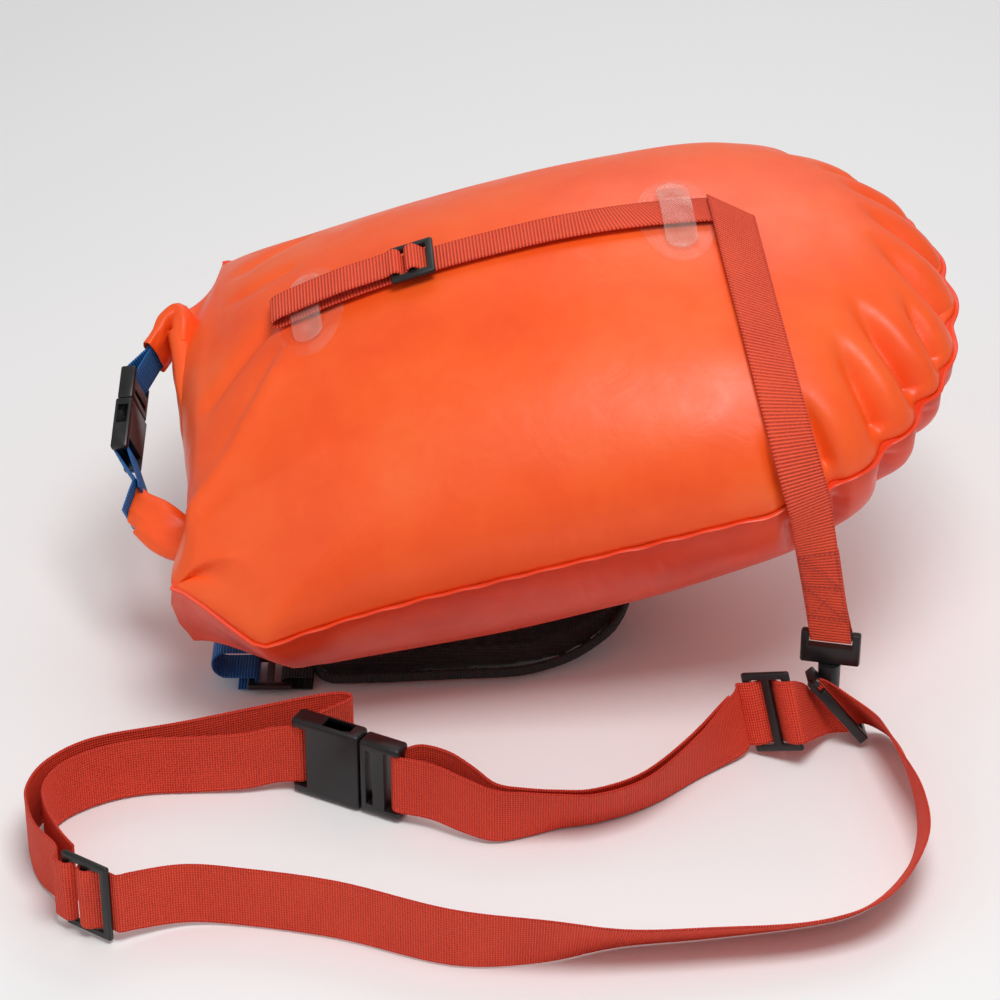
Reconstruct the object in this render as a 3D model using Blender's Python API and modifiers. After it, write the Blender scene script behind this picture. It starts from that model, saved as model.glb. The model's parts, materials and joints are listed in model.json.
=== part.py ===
"""Open water swim buoy: an inflatable dry bag with a rolled mouth, a leash and a waist belt.

The bag lies on its padded harness with its closed end raised. The belt stands on edge in front of it.
Lengths are metres. A table of shares holds shares of the size that its comment names.
"""

import math

import bmesh
import bpy
from mathutils import Matrix, Vector

# Bag, inflated
BAG_LENGTH = 0.5045
BAG_WIDTH = 0.350
FRONT_RISE = 0.105
REAR_RISE = 0.120
SKIN = 0.001
NECK_START = 0.036
NECK_ROUNDING = 0.010
NECK_FLARE_REACH = 0.160
NECK_FLARE_SHARE = 0.14
NECK_RISE_SHARE = 0.124
NECK_LIP_SHARE = 0.55
WIDTH_FALL_SHARE = 0.70
RISE_FALL_SHARE = 0.513
NECK_FALL_SHARE = 0.483
WIDTH_POWER = 2.04
RISE_POWER = 1.83
NECK_POWER = 2.155
BAG_RINGS = 20
BAG_STEPS = 14
SLEEVE_STEPS = 8
SLEEVE_END_RINGS = 5
DRY_RISE = 0.004
SLEEVE_SKIN = 0.0004
RIM_THICKNESS = 0.0012
RIM_INSIDE = 0.010
RIM_OUTSIDE = 0.003

# Pose of the bag on its harness
BAG_X = -0.211
BAG_Y = 0.113
BAG_HEIGHT = 0.092
BAG_YAW = math.radians(3)
BAG_PITCH = math.radians(14)
BAG_ROLL = math.radians(8)

# Fits
GAP = 0.0003
SLACK = 0.0006
OVERRUN = 0.02

# Rolled mouth
ROLL_LENGTH = 0.128
ROLL_HEIGHT = 0.038
ROLL_THICKNESS = 0.014
ROLL_SHEET = 0.0020
ROLL_PITCH = 0.0026
ROLL_TURNS = 1.5
ROLL_TAIL = 0.012
ROLL_LIFT = 0.030
ROLL_TILT = math.radians(20)
ROLL_END_HEIGHT = 0.036
ROLL_END_BEVEL = 0.002
STIFFENER_HEIGHT = 0.020
STIFFENER_THICKNESS = 0.0014
# The roll ends' outlines as shares of the roll's length: forward, sideways, bottom and top
UPPER_END_SHARES = (
    (0.0664, 0.7070, -0.1406, 0.1406),
    (-0.1461, 0.4938, -0.1406, 0.1406),
    (-0.1406, 0.4516, -0.1328, 0.1328),
)
LOWER_END_SHARES = (
    (0.0156, 0.7422, -0.1406, 0.1094),
    (-0.1414, 0.7719, -0.1328, 0.0781),
    (-0.2867, 0.7461, -0.0156, 0.0547),
    (-0.3797, 0.4406, -0.0391, 0.0547),
    (-0.2992, 0.2570, -0.0391, 0.0547),
    (-0.0820, 0.4688, -0.0781, 0.0625),
)
UPPER_TIPS = (1, 2)
LOWER_TIPS = (3, 4)

# Webbing
NARROW_WEBBING = 0.025
WIDE_WEBBING = 0.040
NARROW_THICKNESS = 0.0014
WIDE_THICKNESS = 0.0016

# Roll-top buckle, for the narrow webbing
HANDLE_FORWARD = -0.0382
HANDLE_SIDE = 0.0246
HANDLE_TURN = math.radians(77.6)
ROLL_BUCKLE = {
    "webbing": NARROW_WEBBING,
    "width": 0.034,
    "thickness": 0.011,
    "female": 0.036,
    "male": 0.024,
    "slot": 0.0045,
    "bar": 0.0040,
    "wall": 0.0020,
    "tongue": 0.019,
    "tongue_width": 0.007,
    "window": 0.013,
    "window_start": 0.005,
    "prong": 0.0034,
    "prong_height": 0.0050,
    "bevel": 0.0016,
}
UPPER_TAB_SHARES = (0.25, 0.75)
TAB_BEND_SHARE = 0.25
TAB_FAR_SHARE = 0.15
THIN_BAR_SHARE = 0.31

# Waist buckle, for the wide webbing
WAIST_BUCKLE_X = -0.0795
WAIST_BUCKLE_Y = -0.1120
WAIST_BUCKLE_TURN = math.radians(-28.0)
WAIST_BUCKLE = {
    "webbing": WIDE_WEBBING,
    "width": 0.052,
    "thickness": 0.014,
    "female": 0.045,
    "male": 0.027,
    "slot": 0.0055,
    "bar": 0.0045,
    "wall": 0.0024,
    "tongue": 0.026,
    "tongue_width": 0.010,
    "window": 0.018,
    "window_start": 0.007,
    "prong": 0.0046,
    "prong_height": 0.0066,
    "bevel": 0.0022,
}

# Three-bar sliders: narrow on the leash and harness, wide on the belt
NARROW_SLIDER = {
    "webbing": NARROW_WEBBING,
    "sheet": NARROW_THICKNESS,
    "bar": 0.0045,
    "slot": 0.0070,
    "side": 0.0050,
    "thickness": 0.0036,
    "bevel": 0.0012,
}
WIDE_SLIDER = {
    "webbing": WIDE_WEBBING,
    "sheet": WIDE_THICKNESS,
    "bar": 0.0050,
    "slot": 0.0085,
    "side": 0.0045,
    "thickness": 0.0038,
    "bevel": 0.0013,
}
LEFT_SLIDER_SHARES = (-0.4560, -0.4620, 0.0514)
LEFT_SLIDER_RUN = Vector((0.83, -0.558, 0.0))
LEFT_SLIDER_UP = Vector((0.0, 0.0, 1.0))
RIGHT_SLIDER_SHARES = (0.3250, -0.1160, 0.0592)
RIGHT_SLIDER_RUN = Vector((0.83, -0.45, 0.34))
RIGHT_SLIDER_UP = Vector((-0.22, 0.30, 0.93))

# Clear loops and their patches on the front panel
LOOP_PLACES = {"clear_loop_neck": 0.120, "clear_loop_far": 0.351}
PATCH_LENGTH = 0.046
PATCH_WIDTH = 0.092
PATCH_THICKNESS = 0.0008
LOOP_WIDTH = 0.019
LOOP_REACH = 0.070
LOOP_THICKNESS = 0.0010
LOOP_RISE = 0.0042

# Leash
LEASH_SIDE = 0.006
LEASH_START = 0.099
LEASH_SLIDER_PLACE = 0.190
LEASH_FOLD = 0.370
LEASH_SWING = 0.004

# Swivel hook
SWIVEL_X = 0.1985
SWIVEL_Y = -0.0262
SWIVEL_EYE_HEIGHT = 0.0440
EYE_WIDTH = 0.036
EYE_HEIGHT = 0.0220
EYE_THICKNESS = 0.0060
EYE_SLOT = 0.0060
EYE_BAR = 0.0042
EYE_BAR_THICKNESS = 0.0034
EYE_TURN = math.radians(-12)
POST_RADIUS = 0.0025
POST_HEAD_RADIUS = 0.0042
POST_HEAD = 0.0030
SOCKET_RADIUS = 0.0068
SOCKET_HEIGHT = 0.0172
POST_SHARE = 0.62
RING_LENGTH = 0.051
RING_INSIDE = 0.0428
RING_GAP = 0.010
RING_BAR = 0.0060
RING_X = 0.2025
RING_Y = -0.0405
RING_HEIGHT = 0.0225
PIN_RADIUS = 0.0012
RING_ALONG = Vector((0.65, -0.10, -0.753))
BELT_NORMAL = Vector((-0.024, 0.988, -0.151))

# Padded harness under the bag
PAD_WIDTH = 0.058
PAD_THICKNESS = 0.012
LOCK_PLACE_SHARE = -0.284
LOCK_SIDE_SHARE = 0.192
ANCHOR_REACH = 0.012
ADJUSTER_REACH = 0.026
ANCHOR_LENGTH = 0.026
ANCHOR_WIDTH = 0.034
ANCHOR_THICKNESS = 0.0010

# Oral valves
VALVE_ALONG = 0.270
VALVE_ANGLE = math.radians(10)
VALVE_FLANGE_RADIUS = 0.0120
VALVE_FLANGE = 0.0012
VALVE_BARREL_RADIUS = 0.0078
VALVE_BARREL = 0.007
VALVE_STEM_RADIUS = 0.0052
VALVE_BORE_RADIUS = 0.0032
VALVE_STEM = 0.019
VALVE_COLLAR_RADIUS = 0.0078
VALVE_COLLAR = 0.0080
VALVE_COLLAR_PLACE = 0.0085

# The belt, as shares of the length that it takes on the floor: its lower edge, and the way to its upper edge
BELT_REACH = 0.500
FRONT_RUN_SHARES = (
    ((-0.3540, -0.4500, 0.004), (0.00, 0.02, 1.00)),
    ((-0.2860, -0.4500, 0.000), (0.00, 0.00, 1.00)),
    ((-0.1780, -0.4740, 0.000), (0.00, 0.00, 1.00)),
    ((-0.0540, -0.5200, 0.000), (0.00, -0.04, 1.00)),
    ((0.0440, -0.5160, 0.000), (0.02, -0.28, 0.96)),
    ((0.1300, -0.4880, 0.000), (0.06, -0.62, 0.78)),
    ((0.2220, -0.4740, 0.000), (0.10, -0.68, 0.72)),
    ((0.3360, -0.4520, 0.000), (0.20, -0.72, 0.66)),
    ((0.4040, -0.4260, 0.000), (0.34, -0.56, 0.75)),
    ((0.4560, -0.3680, 0.000), (0.30, -0.22, 0.92)),
    ((0.4820, -0.3000, 0.000), (0.02, -0.02, 1.00)),
    ((0.4920, -0.2120, 0.000), (-0.34, -0.02, 0.94)),
    ((0.4890, -0.1500, 0.000), (-0.46, -0.10, 0.88)),
    ((0.4800, -0.1000, 0.000), (-0.46, -0.34, 0.82)),
    ((0.4620, -0.0760, 0.004), (-0.54, -0.26, 0.80)),
    ((0.4371, -0.0841, 0.0199), (-0.65, 0.10, 0.753)),
    ((0.4249, -0.0859, 0.0097), (-0.65, 0.10, 0.753)),
    ((0.3960, -0.0920, 0.0100), (-0.44, 0.06, 0.90)),
)
RIGHT_LOOP_SHARES = (
    ((0.2880, -0.1300, 0.004), (-0.16, 0.20, 0.97)),
    ((0.2380, -0.1680, 0.000), (-0.06, -0.26, 0.96)),
    ((0.1760, -0.2240, 0.000), (-0.04, -0.48, 0.87)),
    ((0.1160, -0.2560, 0.000), (-0.02, -0.50, 0.87)),
    ((0.0700, -0.2680, 0.000), (0.00, -0.42, 0.90)),
    ((0.0320, -0.2840, 0.000), (0.00, -0.26, 0.96)),
    ((-0.0060, -0.2960, 0.002), (0.00, -0.12, 0.99)),
    ((-0.0400, -0.2880, 0.007), (0.00, -0.03, 1.00)),
    ((-0.0800, -0.2680, 0.012), (0.00, 0.00, 1.00)),
)
RIGHT_BACK_SHARES = (
    ((-0.0900, -0.2300, 0.012), (0.00, 0.00, 1.00)),
    ((-0.0580, -0.2420, 0.010), (0.00, 0.00, 1.00)),
    ((-0.0300, -0.2650, 0.006), (0.00, -0.02, 1.00)),
    ((-0.0060, -0.2780, 0.002), (0.00, -0.04, 1.00)),
)
LEFT_OUTER_SHARES = (
    ((-0.4960, -0.4120, 0.004), (0.00, 0.02, 1.00)),
    ((-0.5220, -0.3720, 0.000), (0.00, 0.02, 1.00)),
    ((-0.5360, -0.3340, 0.000), (0.00, 0.00, 1.00)),
    ((-0.5420, -0.2920, 0.000), (0.00, 0.00, 1.00)),
    ((-0.5240, -0.2420, 0.000), (0.00, 0.00, 1.00)),
    ((-0.4740, -0.1980, 0.000), (0.00, 0.00, 1.00)),
    ((-0.3740, -0.1660, 0.000), (0.00, 0.00, 1.00)),
    ((-0.2780, -0.1340, 0.002), (0.00, 0.00, 1.00)),
    ((-0.2160, -0.1210, 0.008), (0.00, 0.00, 1.00)),
    ((-0.1860, -0.1190, 0.010), (0.00, 0.00, 1.00)),
    ((-0.1760, -0.1320, 0.012), (0.00, 0.00, 1.00)),
    ((-0.1960, -0.1500, 0.012), (0.00, 0.00, 1.00)),
)
LEFT_INNER_SHARES = (
    ((-0.2640, -0.1920, 0.010), (0.00, 0.00, 1.00)),
    ((-0.3040, -0.1970, 0.004), (0.00, 0.00, 1.00)),
    ((-0.3660, -0.1980, 0.000), (0.00, 0.00, 1.00)),
    ((-0.4180, -0.2020, 0.000), (0.00, 0.00, 1.00)),
    ((-0.4640, -0.2180, 0.000), (0.00, 0.00, 1.00)),
    ((-0.5060, -0.2500, 0.000), (0.00, 0.00, 1.00)),
    ((-0.5230, -0.2900, 0.000), (0.00, 0.00, 1.00)),
    ((-0.5160, -0.3320, 0.000), (0.00, 0.00, 1.00)),
    ((-0.4960, -0.3760, 0.000), (0.00, 0.00, 1.00)),
    ((-0.4760, -0.4100, 0.003), (0.00, 0.00, 1.00)),
)

# A shoulder pad's stations: along the belt's spread, outer edge from the bag's middle, rise off the floor
PAD_SHARES = (
    (-0.236, 0.214, 0.000),
    (-0.170, 0.216, 0.000),
    (-0.108, 0.215, 0.000),
    (-0.046, 0.213, 0.000),
    (0.016, 0.211, 0.000),
    (0.060, 0.200, 0.002),
    (0.098, 0.186, 0.010),
    (0.134, 0.172, 0.030),
    (0.164, 0.162, 0.062),
)

ORANGE = (0.95, 0.16, 0.05, 1)
DEEP_ORANGE = (0.80, 0.09, 0.04, 1)
RED_WEBBING = (0.78, 0.07, 0.04, 1)
BLUE_WEBBING = (0.02, 0.14, 0.48, 1)
BLACK = (0.012, 0.012, 0.013, 1)
PAD_BLACK = (0.008, 0.008, 0.010, 1)
CLEAR = (0.95, 0.62, 0.52, 1)
GREY = (0.12, 0.12, 0.13, 1)

ROUND_STEPS = 20
SMOOTH_ANGLE = math.radians(35)


def clear_scene():
    """Remove everything that the file opened with."""
    for thing in list(bpy.data.objects):
        bpy.data.objects.remove(thing, do_unlink=True)


def collection(name):
    made = bpy.data.collections.new(name)
    bpy.context.scene.collection.children.link(made)
    return made


def material(name, colour, roughness, metallic=0.0):
    made = bpy.data.materials.new(name)
    made.use_nodes = True
    shader = made.node_tree.nodes["Principled BSDF"]
    shader.inputs["Base Color"].default_value = colour
    shader.inputs["Roughness"].default_value = roughness
    shader.inputs["Metallic"].default_value = metallic
    made.diffuse_color = colour
    return made


def empty(name, parent=None, place=(0, 0, 0), turn=(0, 0, 0)):
    made = bpy.data.objects.new(name, None)
    made.empty_display_size = NARROW_WEBBING
    parts.objects.link(made)
    made.parent = parent
    made.location = place
    made.rotation_euler = turn
    return made


def piece(name, shape, parent, colour, roughness=0.5, closed=True):
    """An object of its own from a bmesh, with its own material."""
    if closed:
        bmesh.ops.recalc_face_normals(shape, faces=shape.faces)
    mesh = bpy.data.meshes.new(name)
    shape.to_mesh(mesh)
    shape.free()
    mesh.shade_smooth()
    mesh.set_sharp_from_angle(angle=SMOOTH_ANGLE)
    made = bpy.data.objects.new(name, mesh)
    parts.objects.link(made)
    made.parent = parent
    made.data.materials.append(material(name + "_finish", colour, roughness))
    return made


def thicken(made, thickness, offset):
    shell = made.modifiers.new("Thickness", "SOLIDIFY")
    shell.thickness = thickness
    shell.offset = offset
    shell.use_even_offset = offset == 0
    return shell


def round_edges(made, width, segments=2):
    bevel = made.modifiers.new("Edges", "BEVEL")
    bevel.width = width
    bevel.segments = segments
    bevel.limit_method = "ANGLE"
    return bevel


def block_shape(size, middle=(0, 0, 0)):
    shape = bmesh.new()
    bmesh.ops.create_cube(shape, size=1)
    bmesh.ops.scale(shape, vec=Vector(size), verts=shape.verts)
    bmesh.ops.translate(shape, vec=Vector(middle), verts=shape.verts)
    return shape


def rod_shape(radius, length, middle=(0, 0, 0), steps=ROUND_STEPS):
    shape = bmesh.new()
    bmesh.ops.create_cone(shape, cap_ends=True, segments=steps, radius1=radius, radius2=radius, depth=length)
    bmesh.ops.translate(shape, vec=Vector(middle), verts=shape.verts)
    return shape


def tool(shape, parent):
    """A cutter, kept apart from the parts."""
    mesh = bpy.data.meshes.new("cutter")
    shape.to_mesh(mesh)
    shape.free()
    made = bpy.data.objects.new("cutter", mesh)
    cutters.objects.link(made)
    made.parent = parent
    made.hide_render = True
    made.display_type = "WIRE"
    return made


def combine(made, other, operation="DIFFERENCE"):
    boolean = made.modifiers.new("Cut", "BOOLEAN")
    boolean.operation = operation
    boolean.solver = "EXACT"
    boolean.object = other


def cut_block(made, size, middle):
    combine(made, tool(block_shape(size, middle), made.parent))


def turned(name, profile, parent, colour, roughness=0.4):
    """A turned piece from its outline, radius and height, listed from the top down."""
    shape = bmesh.new()
    points = [shape.verts.new((radius, 0, height)) for radius, height in profile]
    for first, second in zip(points, points[1:]):
        shape.edges.new((first, second))
    shape.edges.new((points[-1], points[0]))
    made = piece(name, shape, parent, colour, roughness, closed=False)
    screw = made.modifiers.new("Turn", "SCREW")
    screw.steps = ROUND_STEPS
    screw.render_steps = ROUND_STEPS
    screw.use_merge_vertices = True
    screw.merge_threshold = 0.00001
    return made


def smooth_path(points, steps):
    """A smooth curve through the points, with the given steps between neighbours."""
    path = []
    last = len(points) - 1
    for index in range(last):
        before = points[max(index - 1, 0)]
        start, end = points[index], points[index + 1]
        after = points[min(index + 2, last)]
        for step in range(steps):
            t = step / steps
            path.append(0.5 * (2 * start + (end - before) * t
                               + (2 * before - 5 * start + 4 * end - after) * t ** 2
                               + (3 * start - before - 3 * end + after) * t ** 3))
    path.append(points[-1].copy())
    return path


def strip(name, rows, thickness, parent, colour, roughness=0.75, offset=0.0):
    """A flat band: an open surface through rows of points, made as thick as the webbing."""
    shape = bmesh.new()
    lines = [[shape.verts.new(point) for point in row] for row in rows]
    for first, second in zip(lines, lines[1:]):
        for side in range(len(first) - 1):
            shape.faces.new((first[side], first[side + 1], second[side + 1], second[side]))
    made = piece(name, shape, parent, colour, roughness, closed=False)
    thicken(made, thickness, offset)
    return made


def flat_band(name, path, width, thickness, parent, colour):
    """A band whose path lies in its frame's XZ plane, with its width along Y."""
    half = Vector((0, width / 2, 0))
    return strip(name, [(point - half, point + half) for point in path], thickness, parent, colour)


# Bag

def fall(along, start_share, power):
    """One up to the start, then an oval end that reaches zero at the bag's end."""
    start = start_share * BAG_LENGTH
    far = min(max((along - start) / (BAG_LENGTH - start), 0), 1)
    return max(0, 1 - far ** power) ** (1 / power)


def half_width(along):
    flare = max(0, 1 - along / NECK_FLARE_REACH) ** 2 * NECK_FLARE_SHARE
    return BAG_WIDTH / 2 * fall(along, WIDTH_FALL_SHARE, WIDTH_POWER) * (1 + flare)


def rise_share(along):
    reach = NECK_FALL_SHARE * BAG_LENGTH
    near = min(max((reach - along) / reach, 0), 1)
    neck = NECK_RISE_SHARE + (1 - NECK_RISE_SHARE) * max(0, 1 - near ** NECK_POWER) ** (1 / NECK_POWER)
    rounding = min(max((along - NECK_START) / NECK_ROUNDING, 0), 1)
    lip = NECK_LIP_SHARE + (1 - NECK_LIP_SHARE) * math.sqrt(1 - (1 - rounding) ** 2)
    return neck * fall(along, RISE_FALL_SHARE, RISE_POWER) * lip


def bag_point(along, angle, proud=0.0):
    """A point of the bag's skin: the angle runs from the far side over the front to the near side."""
    rise = FRONT_RISE if math.sin(angle) >= 0 else REAR_RISE
    wide = half_width(along)
    high = rise * rise_share(along)
    point = Vector((along, wide * math.cos(angle), high * math.sin(angle)))
    if proud:
        point += proud * bag_normal(along, angle)
    return point


def bag_normal(along, angle):
    """The skin's outward direction, from two short steps over it."""
    step = BAG_LENGTH / 1000
    over = bag_point(along + step, angle) - bag_point(along - step, angle)
    round_it = bag_point(along, angle + 0.01) - bag_point(along, angle - 0.01)
    return round_it.cross(over).normalized()


def ring_places():
    """Stations along the bag, close together at both ends."""
    neck = [NECK_START, NECK_START + NECK_ROUNDING / 4, NECK_START + NECK_ROUNDING]
    first = NECK_START + 2 * NECK_ROUNDING
    turns = [math.pi / 2 * k / BAG_RINGS for k in range(BAG_RINGS)]
    return neck + [first + (BAG_LENGTH - first) * math.sin(turn) for turn in turns]


def dry_height(along, angle):
    """Half the dry space's thickness."""
    return seam_level() + DRY_RISE * rise_share(along) * math.sin(angle)


def seam_level():
    return RIM_THICKNESS / 2 + GAP


def chamber(name, side, colour):
    """One air chamber: a domed skin and the flatter skin that faces the dry space."""
    rise = FRONT_RISE if side > 0 else REAR_RISE
    shape = bmesh.new()
    loops = []
    for along in ring_places():
        wide = half_width(along)
        high = rise * rise_share(along)
        loop = []
        for step in range(BAG_STEPS + 1):
            angle = math.pi * step / BAG_STEPS
            height = seam_level() + (high - seam_level()) * math.sin(angle)
            loop.append(shape.verts.new((along, wide * math.cos(angle), side * height)))
        for step in range(BAG_STEPS - 1, 0, -1):
            angle = math.pi * step / BAG_STEPS
            loop.append(shape.verts.new((along, wide * math.cos(angle), side * dry_height(along, angle))))
        loops.append(loop)
    count = len(loops[0])
    for first, second in zip(loops, loops[1:]):
        for index in range(count):
            after = (index + 1) % count
            shape.faces.new((first[index], first[after], second[after], second[index]))
    for end in (loops[0], loops[-1]):
        close_end(shape, end)
    made = piece(name, shape, bag_frame, colour, 0.42)
    thicken(made, SKIN, -1)
    angle = VALVE_ANGLE if side > 0 else -VALVE_ANGLE
    frame = valve_frame(name + "_valve_site", angle)
    combine(made, tool(rod_shape(VALVE_BARREL_RADIUS + SLACK, OVERRUN), frame))
    return made


def close_end(shape, loop):
    """Faces across a loop that runs out over one skin and back over the other."""
    count = len(loop)
    for step in range(count // 2):
        corners = [loop[step], loop[step + 1], loop[count - step - 1], loop[(count - step) % count]]
        shape.faces.new([corner for place, corner in enumerate(corners) if corner not in corners[:place]])


def rim():
    """The flat weld that joins the two chambers all round."""
    half = [Vector((along, half_width(along), 0)) for along in ring_places()]
    edge = half + [Vector((BAG_LENGTH, 0, 0))] + [Vector((p.x, -p.y, 0)) for p in reversed(half)]
    rows = []
    for index, point in enumerate(edge):
        along = edge[min(index + 1, len(edge) - 1)] - edge[max(index - 1, 0)]
        out = Vector((along.y, -along.x, 0)).normalized() * -1
        rows.append((point - out * RIM_INSIDE, point + out * RIM_OUTSIDE))
    strip("rim_weld", rows, RIM_THICKNESS, bag_frame, DEEP_ORANGE, 0.45)


def dry_sleeve():
    """The inner bag between the chambers, open at the mouth."""
    shape = bmesh.new()
    loops = []
    for along in ring_places()[2:-SLEEVE_END_RINGS]:
        wide = half_width(along)
        reach = half_width(along + 2 * RIM_INSIDE) - RIM_INSIDE - 2 * SKIN
        loop = []
        for side in (1, -1):
            for step in range(SLEEVE_STEPS + 1):
                share = 1 - 2 * step / SLEEVE_STEPS
                place = side * share * reach
                height = dry_height(along, math.acos(place / wide)) - SLACK
                loop.append(shape.verts.new((along, place, side * height)))
        loops.append(loop)
    count = len(loops[0])
    for first, second in zip(loops, loops[1:]):
        for index in range(count):
            after = (index + 1) % count
            shape.faces.new((first[index], first[after], second[after], second[index]))
    last = loops[-1]
    for index in range(SLEEVE_STEPS):
        shape.faces.new((last[index], last[index + 1], last[count - index - 2], last[count - index - 1]))
    made = piece("dry_sleeve", shape, bag_frame, GREY, 0.5)
    thicken(made, SLEEVE_SKIN, -1)


# Rolled mouth

def rolled_mouth():
    """The mouth's sheet, wound flat on itself, with its stiffener in the middle."""
    half = (ROLL_HEIGHT - ROLL_THICKNESS) / 2
    outer = (ROLL_THICKNESS - ROLL_SHEET) / 2
    path = [Vector((outer, 0, -half - ROLL_TAIL)), Vector((outer, 0, -half))]
    arc_steps = 8
    for index in range(int(2 * ROLL_TURNS)):
        up = 1 if index % 2 == 0 else -1
        for step in range(arc_steps + 1):
            angle = math.pi * (index + step / arc_steps)
            radius = outer - ROLL_PITCH * angle / (2 * math.pi)
            path.append(Vector((radius * math.cos(angle), 0, up * half + radius * math.sin(angle))))
    flat_band("rolled_mouth", path, ROLL_LENGTH, ROLL_SHEET, roll_frame, ORANGE)
    shape = block_shape((STIFFENER_THICKNESS, ROLL_LENGTH, STIFFENER_HEIGHT))
    piece("mouth_stiffener", shape, roll_frame, GREY)


def roll_end(name, shares, side):
    """A roll end, folded forward to the buckle and flatter towards its tip."""
    face = ROLL_THICKNESS / 2 + SLACK
    end = ROLL_LENGTH / 2 + GAP
    half = ROLL_END_HEIGHT / 2
    outline = [(ROLL_THICKNESS / 2, end, -half, half)]
    outline += [tuple(value * ROLL_LENGTH for value in row) for row in shares]
    outline += [(-face, end, -half, half)]
    shape = bmesh.new()
    low = [shape.verts.new((x, side * y, bottom)) for x, y, bottom, top in outline]
    high = [shape.verts.new((x, side * y, top)) for x, y, bottom, top in outline]
    for index in range(len(outline)):
        after = (index + 1) % len(outline)
        shape.faces.new((low[index], low[after], high[after], high[index]))
    caps = [shape.faces.new(low[::-1]), shape.faces.new(high)]
    bmesh.ops.triangulate(shape, faces=caps)
    made = piece(name, shape, roll_frame, ORANGE, 0.42)
    round_edges(made, ROLL_END_BEVEL)


# Side-release buckles

def buckle(name, frame, sizes):
    """A side-release buckle: X runs from the female half to the male half, Y across, Z through it."""
    width, thick = sizes["width"], sizes["thickness"]
    inside = width - 2 * sizes["wall"]
    window = sizes["window"]
    shape = block_shape((sizes["female"], width, thick), (-sizes["female"] / 2, 0, 0))
    female = piece(name + "_female", shape, frame, BLACK, 0.38)
    round_edges(female, sizes["bevel"])
    depth = sizes["tongue"] + SLACK
    cavity = thick - 2 * sizes["wall"]
    cut_block(female, (depth + OVERRUN, inside, cavity), ((OVERRUN - depth) / 2, 0, 0))
    middle = -sizes["window_start"] - window / 2
    cut_block(female, (window, width + OVERRUN, cavity - GAP), (middle, 0, 0))
    webbing_bar(female, frame, sizes, -sizes["female"], -1)

    moving = empty(name + "_travel", frame)
    head = sizes["male"] - GAP
    male = piece(name + "_male", block_shape((head, width - sizes["wall"], thick - sizes["wall"] / 2),
                                             (GAP + head / 2, 0, 0)), moving, BLACK, 0.38)
    round_edges(male, sizes["bevel"])
    tongue = tool(block_shape((sizes["tongue"] + sizes["bar"], sizes["tongue_width"], sizes["prong_height"]),
                              ((sizes["bar"] - sizes["tongue"]) / 2, 0, 0)), moving)
    combine(male, tongue, "UNION")
    webbing_bar(male, moving, sizes, sizes["male"], 1)
    grip = sizes["male"] - 2 * (sizes["bar"] + sizes["slot"])
    cut_block(male, (sizes["slot"] * 0.8, sizes["webbing"] - sizes["wall"], thick + OVERRUN), (grip, 0, 0))
    for side in (1, -1):
        prong(name, sizes, moving, side)


def webbing_bar(made, frame, sizes, end, way):
    """An open slot at a buckle's end, closed by a bar that is thinner than the body."""
    depth = sizes["bar"] + sizes["slot"]
    opening = sizes["webbing"] + 2 * SLACK
    cut_block(made, (depth + OVERRUN, opening, sizes["thickness"] + OVERRUN),
              (end - way * (depth - OVERRUN) / 2, 0, 0))
    thin = sizes["thickness"] * THIN_BAR_SHARE
    middle = end - way * (sizes["bar"] / 2 + GAP)
    bar = block_shape((sizes["bar"], opening + sizes["wall"], thin), (middle, 0, 0))
    combine(made, tool(bar, frame), "UNION")


def prong(name, sizes, moving, side):
    """A spring prong with its press pad, which fingers reach through the female half's side window."""
    arm = sizes["prong"]
    inner = sizes["tongue_width"] / 2 + 2 * arm
    wall = sizes["width"] / 2 - sizes["wall"] - SLACK
    start, window = sizes["window_start"] + SLACK, sizes["window"] - 2 * SLACK
    outline = [(-GAP, inner - arm), (-GAP, inner), (-start, wall - arm / 4), (-start - window / 8, wall),
               (-start - window * 0.5, wall - arm / 8), (-start - window, wall - arm / 3),
               (-start - window, wall - 1.2 * arm), (-start - window * 0.5, inner)]
    pivot = empty(f"{name}_prong_pivot_{'upper' if side > 0 else 'lower'}", moving,
                  (-GAP, side * (inner - arm / 2), 0))
    shape = bmesh.new()
    low = [shape.verts.new((x + GAP, side * (y - inner + arm / 2), -sizes["prong_height"] / 2))
           for x, y in outline]
    bottom = shape.faces.new(low)
    raised = bmesh.ops.extrude_face_region(shape, geom=[bottom])["geom"]
    verts = [item for item in raised if isinstance(item, bmesh.types.BMVert)]
    bmesh.ops.translate(shape, vec=Vector((0, 0, sizes["prong_height"])), verts=verts)
    made = piece(f"{name}_prong_{'upper' if side > 0 else 'lower'}", shape, pivot, BLACK, 0.38)
    round_edges(made, arm / 8, 1)


def wrap_radius(bar, depth, thickness):
    """How far the middle of a webbing lies from the middle of the bar that it passes round."""
    return math.hypot(bar, depth) / 2 + SLACK + thickness / 2


def round_bar(centre, start, toward, radius, half, steps=8):
    """Rows of webbing half round a bar, from its start side over the side that it turns toward."""
    rows = []
    for step in range(steps + 1):
        angle = math.pi * step / steps
        middle = centre + start * radius * math.cos(angle) + toward * radius * math.sin(angle)
        rows.append([middle - half, middle + half])
    return rows


def handle_place(share, side):
    """A roll end's corner in the handle's frame, along it and off it."""
    x = share[0] * ROLL_LENGTH - HANDLE_FORWARD
    y = side * share[1] * ROLL_LENGTH - HANDLE_SIDE
    along = x * math.cos(HANDLE_TURN) + y * math.sin(HANDLE_TURN)
    return Vector((along, 0, x * math.sin(HANDLE_TURN) - y * math.cos(HANDLE_TURN)))


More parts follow.
